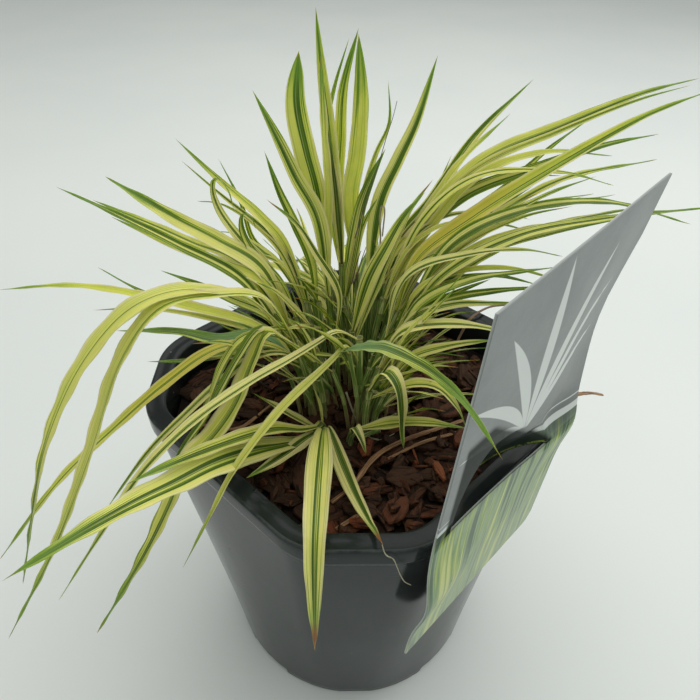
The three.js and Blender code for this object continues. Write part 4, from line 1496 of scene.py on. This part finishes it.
@dataclass
class Pot:
    """The moulded pot: a square mouth with cut corners over a round foot."""

    mouth: float = 150 * MM
    height: float = 153 * MM
    foot_radius: float = 60.8 * MM
    corner_cut: float = 30 * MM
    corner_radius: float = 26 * MM
    turn: float = 46.5
    collar: float = 8.3 * MM
    wall_inset: float = 1.8 * MM
    wall: float = 2 * MM
    throat_low: float = 130 * MM
    notch_width: float = 25 * MM
    notch_height: float = 4.5 * MM
    notch_depth: float = 9 * MM
    slot_size: tuple[float, float, float] = (6.6 * MM, 2.2 * MM, 1.6 * MM)
    slot_place: tuple[float, float] = (-32.75 * MM, -62.26 * MM)
    slot_turn: float = -38.6
    # The lip and the inside of the mouth: height from top, inset, and scuffing with painted highlight, in mm
    # and shares.
    lip: tuple[tuple[float, float, float], ...] = (
        (-6.5, 0.2, 0), (-3, 0.06, 0), (-1.3, 0, 0), (-0.6, 0.08, 0.3), (-0.18, 0.35, 1), (0, 0.8, 0.5),
        (-0.06, 1.3, 0), (-0.28, 2.0, 0), (-0.34, 4.5, 0), (-0.32, 6.8, 0), (-0.5, 7.4, 0.3),
        (-0.9, 7.8, 0.5), (-1.5, 8.0, 0.1), (-8, 8.1, 0), (-17.8, 8.3, 0))
    bends: int = 9
    flats: int = 7

    def outline(self, inset: float) -> Array:
        """The mouth's outline, drawn inset from the lip.

        Args:
            inset: How far inside the lip it runs.

        Returns:
            Its points, two numbers a row.
        """
        half = self.mouth / 2
        back = self.corner_radius * math.tan(math.pi / 8)
        straight = half - self.corner_cut - back
        quarter = [(half - inset, along * straight) for along in np.linspace(-1, 1, self.flats + 2)[1:-1]]
        for start, x, y in ((0.0, half - self.corner_radius, straight),
                            (math.pi / 4, straight, half - self.corner_radius)):
            for angle in start + np.linspace(0, math.pi / 4, self.bends):
                quarter.append((x + (self.corner_radius - inset) * math.cos(angle),
                                y + (self.corner_radius - inset) * math.sin(angle)))
        rows = []
        for side in range(4):
            angle = math.radians(self.turn) + side * math.pi / 2
            spin = np.array([[math.cos(angle), math.sin(angle)], [-math.sin(angle), math.cos(angle)]])
            rows.append(np.array(quarter) @ spin)
        return np.vstack(rows)

    def mouth_ring(self, z: float, inset: float) -> Array:
        """A level ring of the mouth's own shape."""
        flat = self.outline(inset)
        return np.column_stack([flat, np.full(len(flat), z)])

    def wall_ring(self, z: float, depth: float) -> Array:
        """A level ring of the sloping wall: round at the foot, the mouth's shape under the collar.

        Args:
            z: How high it lies.
            depth: How far inside the outer face it runs.

        Returns:
            Its points, one a row.
        """
        flat = self.outline(self.wall_inset + depth)
        round_ = unit(flat) * (self.foot_radius - depth)
        mixed = round_ + (flat - round_) * (z / (self.height - self.collar))
        return np.column_stack([mixed, np.full(len(flat), z)])

    def rings(self) -> tuple[list[Array], list[float]]:
        """The rings of the shell, up the outside, over the lip and down the inside.

        Returns:
            The rings, and how far each is lightened by scuffing and painted highlight.
        """
        low, top = self.height - self.collar, self.height
        rings = [self.wall_ring(0, 1.2 * MM), self.wall_ring(0.35 * MM, 0.35 * MM),
                 self.wall_ring(1.2 * MM, 0)]
        rings += [self.wall_ring(z, 0) for z in np.linspace(5 * MM, low - 1.2 * MM, 22)]
        rings += [self.wall_ring(low - 0.7 * MM, 0), self.mouth_ring(low - 0.35 * MM, 1.35 * MM),
                  self.mouth_ring(low - 0.05 * MM, 0.75 * MM), self.mouth_ring(low + 0.35 * MM, 0.35 * MM)]
        worn = [0.0] * len(rings)
        for z, inset, wear_and_highlight in self.lip:
            rings.append(self.mouth_ring(top + z * MM, inset * MM))
            worn.append(float(wear_and_highlight))
        rings += [self.wall_ring(self.throat_low, self.wall), self.wall_ring(60 * MM, self.wall),
                  self.wall_ring(self.wall, self.wall)]
        worn += [0.0] * 3
        return rings, worn

    def build(self, finish: Material) -> Object:
        """Builds the pot.

        Args:
            finish: The pot's finish.

        Returns:
            The pot's object, with its drainage notches and the label slot cut.
        """
        rings, worn = self.rings()
        around = len(rings[0])
        skin = Skin()
        # The lip's painted highlight and scuffing are kept as a value at the points.
        skin.add(np.vstack(rings), ring_faces(len(rings), around), 0, worn=np.repeat(worn, around))
        pot = skin.build("moulded_pot", [finish], 40)
        cutters = []
        for side in range(4):
            angle = math.radians(self.turn + 90 * side)
            middle = self.foot_radius - self.notch_depth / 2 + 2 * MM
            cutters.append(block((self.notch_depth, self.notch_width, self.notch_height * 2), 1.2 * MM, angle,
                                 (middle * math.cos(angle), middle * math.sin(angle), 0)))
        cutters.append(block(self.slot_size, 0.5 * MM, math.radians(self.slot_turn),
                             (*self.slot_place, self.height - 0.3 * MM)))
        cut(pot, cutters)
        return settle(pot, "pot", "pot")


def block(size: Sequence[float], rounding: float, angle: float, place: Sequence[float]) -> Object:
    """A block with rounded edges, for cutting.

    Args:
        size: Its three sides.
        rounding: The radius of its edges.
        angle: Its turn about the upright, in radians.
        place: Its middle.

    Returns:
        The block's object.
    """
    draft = bmesh.new()
    bmesh.ops.create_cube(draft, size=1, matrix=Matrix.Diagonal((*size, 1)))
    bmesh.ops.bevel(draft, geom=list(draft.edges), offset=rounding, segments=3, affect="EDGES", profile=0.5)
    draft.transform(Matrix.Translation(place) @ Matrix.Rotation(angle, 4, "Z"))
    mesh = bpy.data.meshes.new("cutter")
    draft.to_mesh(mesh)
    draft.free()
    return linked("cutter", mesh)


def cut(piece: Object, cutters: Sequence[Object]) -> None:
    """Takes the cutters out of a piece and deletes them.

    Args:
        piece: What is cut.
        cutters: The blocks.
    """
    for cutter in cutters:
        change = piece.modifiers.new("cut", "BOOLEAN")
        change.operation = "DIFFERENCE"
        change.solver = "EXACT"
        change.object = cutter
    bpy.context.view_layer.update()
    made = bpy.data.meshes.new_from_object(piece.evaluated_get(bpy.context.evaluated_depsgraph_get()))
    piece.modifiers.clear()
    piece.data = made
    for cutter in cutters:
        bpy.data.objects.remove(cutter)


@dataclass(frozen=True)
class ChipSizes:
    """What a layer's chips are drawn from.

    Half a chip's length and half its thickness are in millimetres, its width is a share of its length, and
    its tilt is in radians.
    """

    count: int
    height: float
    margin: float
    long: Range
    wide: Range
    thick: Range
    tilt: float


@dataclass
class Bark:
    """The bark mulch: a dark bed with chips in layers over it, both darkened low down with painted shade."""

    pot: Pot
    bed_top: float = 138.3 * MM
    low: float = 134.3 * MM
    inset: float = 8.9 * MM
    seed: int = 11
    widest: float = 5.6
    tone: Range = (0.44, 0.19)
    outline: Range = (0.58, 1.12)
    chosen_outline: Range = (0.85, 1.05)
    uneven: float = 0.28
    jog: float = 0.07
    lift: float = 0.12
    dome: Range = (0.98, 1.2)
    curl: Range = (-0.1, 0.14)
    first_turn: Range = (0, 6.28)
    root_gap: float = 2.6 * MM
    chosen_height: float = 142.2 * MM
    shaded_below: float = 140.4 * MM
    shade_depth: float = 2.2 * MM
    # A chip's rings: the share of its outline and of half its thickness.
    profile: tuple[Range, ...] = ((0.8, -1.0), (0.98, -0.5), (1.0, 0.4), (0.9, 0.9), (0.5, 1.0))
    layers: dict[Lay, ChipSizes] = field(default_factory=lambda: {
        Lay.BEDDED: ChipSizes(220, 139.0 * MM, 6.2 * MM, (4.5, 11.0), (0.4, 0.8), (0.6, 1.3), 0.14),
        Lay.LOOSE: ChipSizes(200, 140.2 * MM, 7.2 * MM, (2.0, 9.5), (0.25, 0.7), (0.6, 1.6), 0.24),
        Lay.TIPPED: ChipSizes(210, 141.3 * MM, 7.2 * MM, (1.0, 6.5), (0.25, 0.75), (0.4, 1.5), 0.55),
        Lay.SLIVER: ChipSizes(300, 142.1 * MM, 7.2 * MM, (1.0, 6.0), (0.05, 0.22), (0.25, 0.6), 0.35)})

    def bed(self, skin: Skin, chance: Generator) -> None:
        """Adds the bed that the chips lie on.

        Args:
            skin: What it is added to.
            chance: The stream of random numbers.
        """
        rim = self.pot.outline(self.inset)
        around = len(rim)
        rings = [np.column_stack([rim, np.full(around, self.low)]),
                 np.column_stack([rim, np.full(around, self.bed_top - 1 * MM)])]
        for share in np.linspace(0.97, 0.08, 20):
            lift = chance.uniform(-0.8, 0.4, around) * MM
            rings.append(np.column_stack([rim * share, self.bed_top + lift]))
        points = np.vstack([*rings, [[0, 0, self.bed_top]]])
        # Painted shade: the bed is darkened strongly, standing for the shade in the gaps between the chips.
        skin.add(points, ring_faces(len(rings), around, tip=True), 0, across=points[:, 0] / MM,
                 along=points[:, 1] / MM, seed=0.05, low=0.85)

    def chip(self, skin: Skin, chance: Generator, place: Array, lay: Lay,
             chosen: Optional[Sequence[float]] = None) -> None:
        """Adds one chip.

        Args:
            skin: What it is added to.
            chance: The stream of random numbers.
            place: Its middle.
            lay: How it lies.
            chosen: Half its length and width, its turn in degrees and its tone, if they are given.
        """
        around = int(chance.integers(7, 12))
        sizes = self.layers[lay]
        long = chance.uniform(*sizes.long)
        short = min(chance.uniform(*sizes.wide) * long, self.widest)
        tone = float(np.clip(chance.normal(*self.tone), 0.02, 1))
        turn = chance.uniform(0, 2 * math.pi)
        if chosen:
            long, short, degrees, tone = chosen
            turn = math.radians(degrees)
        depth = chance.uniform(*sizes.thick)
        angle = np.linspace(0, 2 * math.pi, around, endpoint=False)
        angle = angle + chance.uniform(-self.uneven, self.uneven, around)
        reach = chance.uniform(*(self.chosen_outline if chosen else self.outline), around)
        rim = np.column_stack([np.cos(angle) * long, np.sin(angle) * short]) * reach[:, None]
        rings = []
        for scale, z in self.profile:
            jog = chance.normal(0, self.jog, (around, 2))
            lift = chance.normal(0, self.lift, around)
            rings.append(np.column_stack([rim * scale + jog, (z + lift) * depth]))
        local = np.vstack([*rings, [[0, 0, depth * chance.uniform(*self.dome)]]])
        local[:, 2] += chance.uniform(*self.curl) * local[:, 0] ** 2 / long
        tilt = sizes.tilt * (0.3 if chosen else 1)
        spin = (Matrix.Rotation(turn, 3, "Z") @ Matrix.Rotation(chance.uniform(-tilt, tilt), 3, "Y")
                @ Matrix.Rotation(chance.uniform(-tilt, tilt) * 1.6, 3, "X"))
        points = local @ np.array(spin).T * MM + place
        # Painted shade: the lower a chip's point lies, the darker it is painted.
        skin.add(points, ring_faces(len(rings), around, tip=True), 0, across=local[:, 1], along=local[:, 0],
                 seed=tone, low=np.clip((self.shaded_below - points[:, 2]) / self.shade_depth, 0, 0.95))

    def build(self, finish: Material) -> Object:
        """Builds the bark.

        Args:
            finish: The bark's finish.

        Returns:
            The bark's object.
        """
        chance = np.random.default_rng(self.seed)
        skin = Skin()
        self.bed(skin, chance)
        rim = self.pot.outline(self.inset)
        angles = np.arctan2(rim[:, 1], rim[:, 0])
        order = np.argsort(angles)
        edge = np.linalg.norm(rim, axis=1)[order]
        roots = np.array([row[1] for row in SHOOTS], float) * MM
        golden = math.pi * (3 - math.sqrt(5))
        for lay, sizes in self.layers.items():
            start = chance.uniform(*self.first_turn)
            for i in range(sizes.count):
                angle = start + i * golden
                limit = np.interp(math.atan2(math.sin(angle), math.cos(angle)), angles[order], edge,
                                  period=2 * math.pi)
                out = (limit - sizes.margin) * math.sqrt((i + 0.5) / sizes.count)
                spot = out * np.array([math.cos(angle), math.sin(angle)]) + chance.uniform(-1, 1, 2) * MM
                near = np.min(np.linalg.norm(roots - spot, axis=1))
                place = np.array([*spot, sizes.height + chance.uniform(-0.4, 0.4) * MM])
                if near > self.root_gap or lay is Lay.BEDDED:
                    self.chip(skin, chance, place, lay)
        for x, y, *chosen in CHIPS:
            self.chip(skin, chance, np.array([x * MM, y * MM, self.chosen_height]), Lay.LOOSE, chosen)
        return settle(skin.build("bark_chips", [finish], 32), "bark", "bark_mulch")


@dataclass(frozen=True)
class Bulge:
    """A soft bulge along one direction of the card, in millimetres."""

    rise: float
    middle: float
    spread: float

    def at(self, place: Array) -> Array:
        """How high it is at places along its direction."""
        return self.rise * np.exp(-((place - self.middle) / self.spread) ** 2)


@dataclass
class Label:
    """The plant label: a printed card outside the rim, with a tongue pressed in over a cut.

    Its sizes are in millimetres and its angles in degrees.
    """

    width: float = 87
    height: float = 165
    thickness: float = 0.8
    turn: float = 317
    lean: float = 4
    corner: float = 5
    along: float = -5
    out: float = 77.8
    up: float = 170.1
    tongue_width: float = 60
    tongue_left: float = 38
    tongue_right: float = 24
    tongue_along: float = -6
    tongue_low: float = -15
    swing: float = 9.3
    arc: int = 40
    bands: int = 9
    levels: int = 16
    tongue_rings: tuple[float, ...] = (1.0, 0.985, 0.96, 0.92, 0.86, 0.78, 0.68, 0.56, 0.43, 0.3, 0.15)
    right_foot: Bulge = Bulge(2.2, -17, 12)
    right_top: Bulge = Bulge(-4.3, 32, 30)
    left_foot: Bulge = Bulge(3.6, -46, 16)
    dent_over: Bulge = Bulge(-2.8, 26, 11)
    dent_up: Bulge = Bulge(1, -3, 8)
    cut_rise: Bulge = Bulge(5.5, -15, 12)
    top_rise: float = 2.6
    least: float = 1e-6

    def points(self, over: Array, up: Array, out: Array) -> Array:
        """Points of the card, in metres.

        Args:
            over: Millimetres across it.
            up: Millimetres up it.
            out: Millimetres out of its face.

        Returns:
            The points, one a row.
        """
        angle, lean = math.radians(self.turn), math.radians(self.lean)
        side = np.array([-math.sin(angle), math.cos(angle), 0])
        level = np.array([math.cos(angle), math.sin(angle), 0])
        rise = np.array([0, 0, math.cos(lean)]) + level * math.sin(lean)
        face = level * math.cos(lean) - np.array([0, 0, math.sin(lean)])
        middle = np.array([0, 0, self.up]) + level * self.out + side * self.along
        return (middle + np.outer(over, side) + np.outer(up, rise) + np.outer(out, face)) * MM

    def bow(self, over: Array, up: Array) -> Array:
        """How far the card bends out of its flat: in at its right side, out at its foot.

        Args:
            over: Millimetres across it.
            up: Millimetres up it.

        Returns:
            Millimetres out of its face.
        """
        right, left = smooth(over, 0, self.width / 2), smooth(-over, 0, self.width / 2)
        return (right * (self.right_foot.at(up) + self.right_top.at(up)) + left * self.left_foot.at(up)
                + self.dent_over.at(over) * self.dent_up.at(up))

    def stretch(self, over: Array, up: Array) -> Array:
        """How far points lie above a level card's: the cut rises to the left, the top to the right."""
        return (self.cut_rise.at(up) * smooth(-over, -25, 30)
                + self.top_rise * smooth(up, 25, 82) * over / (self.width / 2))

    def grid(self) -> tuple[Array, Faces]:
        """The card's flat points and faces, with the cut left open.

        Returns:
            Rows of across, up and push, and the faces by their numbers.
        """
        angle = np.linspace(0, math.pi, self.arc + 1)
        left = smooth(-np.cos(angle), -0.5, 0.5)
        square = 1 - 0.4 * left
        across = np.cos(angle)
        rim = np.column_stack([
            self.tongue_along + self.tongue_width / 2 * np.sign(across) * np.abs(across) ** square,
            self.tongue_low + (self.tongue_right + (self.tongue_left - self.tongue_right) * left)
            * np.sin(angle) ** square])
        power = 0.75 - 0.15 * left + 0.8 * (1 - left) * np.sin(angle)
        rows: list[tuple[float, float, float]] = []
        for share in self.tongue_rings:
            for (x, y), bent in zip(rim, power):
                rows.append((self.tongue_along + (x - self.tongue_along) * share,
                             self.tongue_low + (y - self.tongue_low) * share,
                             self.swing * max(1 - share ** 2, 0) ** bent))
        row = self.arc + 1
        last = len(rows) - row
        faces: Faces = [(a, a + 1, a + 1 + row, a + row) for start in range(0, last, row)
                        for a in range(start, start + self.arc)]
        faces.extend((last + i, last + i + 1, len(rows)) for i in range(self.arc))
        rows.append((self.tongue_along, self.tongue_low, self.swing))
        return self.sheet(rows, faces, rim)

    def sheet(self, rows: list[tuple[float, float, float]], faces: Faces,
              rim: Array) -> tuple[Array, Faces]:
        """Adds the flat of the card round the tongue.

        Args:
            rows: The tongue's points, whose first row is the tongue's rim.
            faces: The tongue's faces.
            rim: The tongue's rim.

        Returns:
            All the points, and all the faces.
        """
        half_w, half_h = self.width / 2, self.height / 2
        outer = [self.edge_point(x, y) for x, y in rim]
        outer[0], outer[-1] = (half_w, self.tongue_low), (-half_w, self.tongue_low)
        for corner in ((half_w, half_h), (-half_w, half_h)):
            nearest = min(range(len(outer)), key=lambda i: math.dist(outer[i], corner))
            outer[nearest] = corner
        row = len(rim)
        previous = list(range(row))
        for band in range(1, self.bands + 1):
            share = (band / self.bands) ** 1.15
            current = list(range(len(rows), len(rows) + row))
            rows.extend((x + (ox - x) * share, y + (oy - y) * share, 0.0)
                        for (x, y), (ox, oy) in zip(rim, outer))
            faces.extend((previous[i], current[i], current[i + 1], previous[i + 1]) for i in range(row - 1))
            previous = current
        high = self.join_line(rows, row)
        edge = self.bottom_line()
        columns = [(float(rows[i][0]), float(np.interp(rows[i][0], edge[:, 0], edge[:, 1]))) for i in high]
        for level in range(1, self.levels + 1):
            low = list(range(len(rows), len(rows) + len(columns)))
            rows.extend((x, self.tongue_low + (floor - self.tongue_low) * level / self.levels, 0.0)
                        for x, floor in columns)
            faces.extend((high[i], low[i], low[i + 1], high[i + 1]) for i in range(len(columns) - 1))
            high = low
        return np.array(rows), faces

    def edge_point(self, x: float, y: float) -> tuple[float, float]:
        """Where a ray from the tongue's middle through a point meets the upper card's edge.

        Args:
            x: How far across the point lies.
            y: How far up it lies.

        Returns:
            The place on the edge.
        """
        dx, dy = x - self.tongue_along, y - self.tongue_low
        reach = []
        if abs(dx) > self.least:
            reach.append((math.copysign(self.width / 2, dx) - self.tongue_along) / dx)
        if dy > self.least:
            reach.append((self.height / 2 - self.tongue_low) / dy)
        near = min(reach)
        return self.tongue_along + dx * near, self.tongue_low + dy * near

    def bottom_line(self) -> Array:
        """The card's lower edge with its rounded right corner, as rising pairs of across and up."""
        x, y = self.width / 2 - self.corner, self.corner - self.height / 2
        return np.array([(-self.width / 2, -self.height / 2),
                         *((x + self.corner * math.cos(a), y + self.corner * math.sin(a))
                           for a in np.linspace(-math.pi / 2, 0, 9))])

    def join_line(self, rows: list[tuple[float, float, float]], row: int) -> list[int]:
        """The points on the cut's level, from right to left, that the lower card starts from.

        Args:
            rows: All the points so far. The middle of the cut gets points of its own.
            row: How many points the rim has.

        Returns:
            The points' numbers.
        """
        base = len(rows) - self.bands * row
        right = [base + band * row for band in range(self.bands - 1, -1, -1)]
        left = [base + band * row + row - 1 for band in range(self.bands)]
        start = len(rows)
        inner = np.linspace(self.tongue_width / 2, -self.tongue_width / 2, 26)[1:-1]
        rows.extend((float(self.tongue_along + x), self.tongue_low, 0.0) for x in inner)
        return [*right, 0, *range(start, start + len(inner)), row - 1, *left]

    def build(self, finish: Material) -> Object:
        """Builds the label.

        Args:
            finish: The label's finish.

        Returns:
            The label's object.
        """
        flat, faces = self.grid()
        over, up, push = flat.T
        count = len(flat)
        bow, lifted = self.bow(over, up), up + self.stretch(over, up)
        outer = self.points(over, lifted, bow - push)
        inner = self.points(over, lifted, bow - push - self.thickness)
        edges: dict[tuple[int, int], bool] = {}
        for corner in faces:
            for a, b in zip(corner, corner[1:] + corner[:1]):
                if edges.pop((b, a), None) is None:
                    edges[a, b] = True
        shell = [*faces, *(tuple(count + i for i in reversed(corner)) for corner in faces),
                 *((b, a, count + a, count + b) for a, b in edges)]
        skin = Skin()
        skin.add(np.vstack([outer, inner]), shell, 0, over=np.tile(over, 2), up=np.tile(up, 2),
                 front=np.concatenate([np.ones(count), np.zeros(count)]))
        return settle(skin.build("label_card", [finish], 50), "label", "plant_label")


def facing(side: Array, up: Array, back: Array, place: Sequence[float]) -> Matrix:
    """The pose of a camera or a lamp, from its own three directions and its place."""
    pose = np.eye(4)
    pose[:3, :4] = np.column_stack([side, up, back, place])
    return Matrix(pose.tolist())


@dataclass(frozen=True)
class Lamp:
    """A square soft lamp: where it hangs, what it looks at, its size, its power in watts and its tone."""

    name: str
    place: tuple[float, float, float]
    aim: tuple[float, float, float]
    size: float
    power: float
    tone: tuple[float, float, float]

    def hang(self) -> Object:
        """Hangs the lamp.

        Returns:
            The lamp's object.
        """
        lamp = bpy.data.lights.new(self.name, "AREA")
        lamp.shape = "SQUARE"
        lamp.size = self.size
        lamp.energy = self.power
        lamp.color = self.tone
        piece = linked(self.name, lamp)
        back = unit(np.array(self.place) - np.array(self.aim))
        side = unit(np.cross([0, 0, 1.0], back))
        piece.matrix_world = facing(side, np.cross(back, side), back, self.place)
        return piece


@dataclass(frozen=True)
class Studio:
    """The camera, the pale floor and the soft light."""

    focal: float = 640.0
    picture: float = 700.0
    sensor: float = 36.0
    distance: float = 258.7 * MM
    elevation: float = 38.4
    roll: float = 0.9
    target: tuple[float, float, float] = (-3.2 * MM, 0.0, 166.6 * MM)
    floor_reach: float = 3.0
    lamps: tuple[Lamp, ...] = (
        Lamp("ceiling_lamp", (0.15, 0.3, 1.3), (0, 0.1, 0.1), 1.8, 14.5, (1.0, 0.985, 0.96)),
        Lamp("window_lamp", (1.2, 0.5, 0.8), (0, 0, 0.15), 0.9, 2.6, (0.97, 0.99, 1.0)))
    sky: tuple[float, float, float, float] = (0.80, 0.83, 0.81, 1)
    sky_lean: tuple[float, float, float] = (-0.25, 0.2, 1.0)
    # How far along the lean the sky is brightest and its strength there, then the same where it is dimmest.
    sky_low: Range = (-0.3, 1.05)
    sky_high: Range = (0.6, 0.44)

    def camera(self) -> Object:
        """Places the camera at the photograph's angle.

        Returns:
            The camera's object.
        """
        rise, roll = math.radians(self.elevation), math.radians(self.roll)
        back = np.array([0, -math.cos(rise), math.sin(rise)])
        level = np.array([1.0, 0, 0])
        upright = np.array([0, math.sin(rise), math.cos(rise)])
        right = math.cos(roll) * level + math.sin(roll) * upright
        up = -math.sin(roll) * level + math.cos(roll) * upright
        eye = np.array(self.target) + back * self.distance
        lens = bpy.data.cameras.new("camera")
        lens.sensor_width = self.sensor
        lens.lens = self.focal / self.picture * self.sensor
        lens.clip_start = 0.005
        camera = linked("camera", lens)
        camera.matrix_world = facing(right, up, back, eye)
        bpy.context.scene.camera = camera
        return camera

    def floor(self, finish: Material) -> Object:
        """Lays the floor.

        Args:
            finish: The floor's finish.

        Returns:
            The floor's object.
        """
        reach = self.floor_reach
        mesh = bpy.data.meshes.new("floor")
        mesh.from_pydata([(-reach, -reach, 0), (reach, -reach, 0), (reach, reach, 0), (-reach, reach, 0)], [],
                         [(0, 1, 2, 3)])
        mesh.materials.append(finish)
        floor = linked("floor", mesh)
        return floor

    def light(self) -> None:
        """Hangs the lamps and sets the pale surroundings, brightest low down."""
        for lamp in self.lamps:
            lamp.hang()
        world = bpy.data.worlds.new("pale_room")
        world.use_nodes = True
        tree = world.node_tree
        background = tree.nodes["Background"]
        background.inputs["Color"].default_value = self.sky
        way = tree.nodes.new("ShaderNodeTexCoord")
        lean = tree.nodes.new("ShaderNodeVectorMath")
        lean.operation = "DOT_PRODUCT"
        lean.inputs[1].default_value = self.sky_lean
        fade = tree.nodes.new("ShaderNodeMapRange")
        tree.links.new(way.outputs["Generated"], lean.inputs[0])
        tree.links.new(lean.outputs["Value"], fade.inputs["Value"])
        tree.links.new(fade.outputs[0], background.inputs["Strength"])
        (low, bright), (high, dim) = self.sky_low, self.sky_high
        for key, value in (("From Min", low), ("From Max", high), ("To Min", bright), ("To Max", dim)):
            fade.inputs[key].default_value = value
        bpy.context.scene.world = world
        bpy.context.scene.view_settings.view_transform = "Standard"


def settle(piece: Object, finish_slot: str, *nodes: str) -> Object:
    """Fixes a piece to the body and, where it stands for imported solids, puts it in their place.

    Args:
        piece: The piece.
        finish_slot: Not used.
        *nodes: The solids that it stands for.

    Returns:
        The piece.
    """
    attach(piece, BODY)
    if nodes:
        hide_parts(*nodes)
    LOG.info("%s: %d faces", piece.name, len(piece.data.polygons))
    return piece


def main() -> None:
    """Builds the plant, its pot and its label, and sets the scene."""
    logging.basicConfig(level=logging.INFO, format="%(name)s %(message)s")
    studio = Studio()
    studio.camera()
    studio.floor(FloorFinish().make())
    studio.light()
    pot = Pot()
    pot.build(PotFinish().make())
    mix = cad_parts["potting_mix"]
    mix.data.materials.clear()
    mix.data.materials.append(MixFinish().make())
    Bark(pot).build(BarkFinish().make())
    Label().build(LabelFinish().make())
    Grass().build([BladeFinish().make(), CulmFinish().make()])
    straws, straw_finish = Straws(), StrawFinish().make()
    straws.build(straw_finish)
    straws.wisps(straw_finish)
    bpy.context.view_layer.update()


if __name__ == "__main__":
    main()
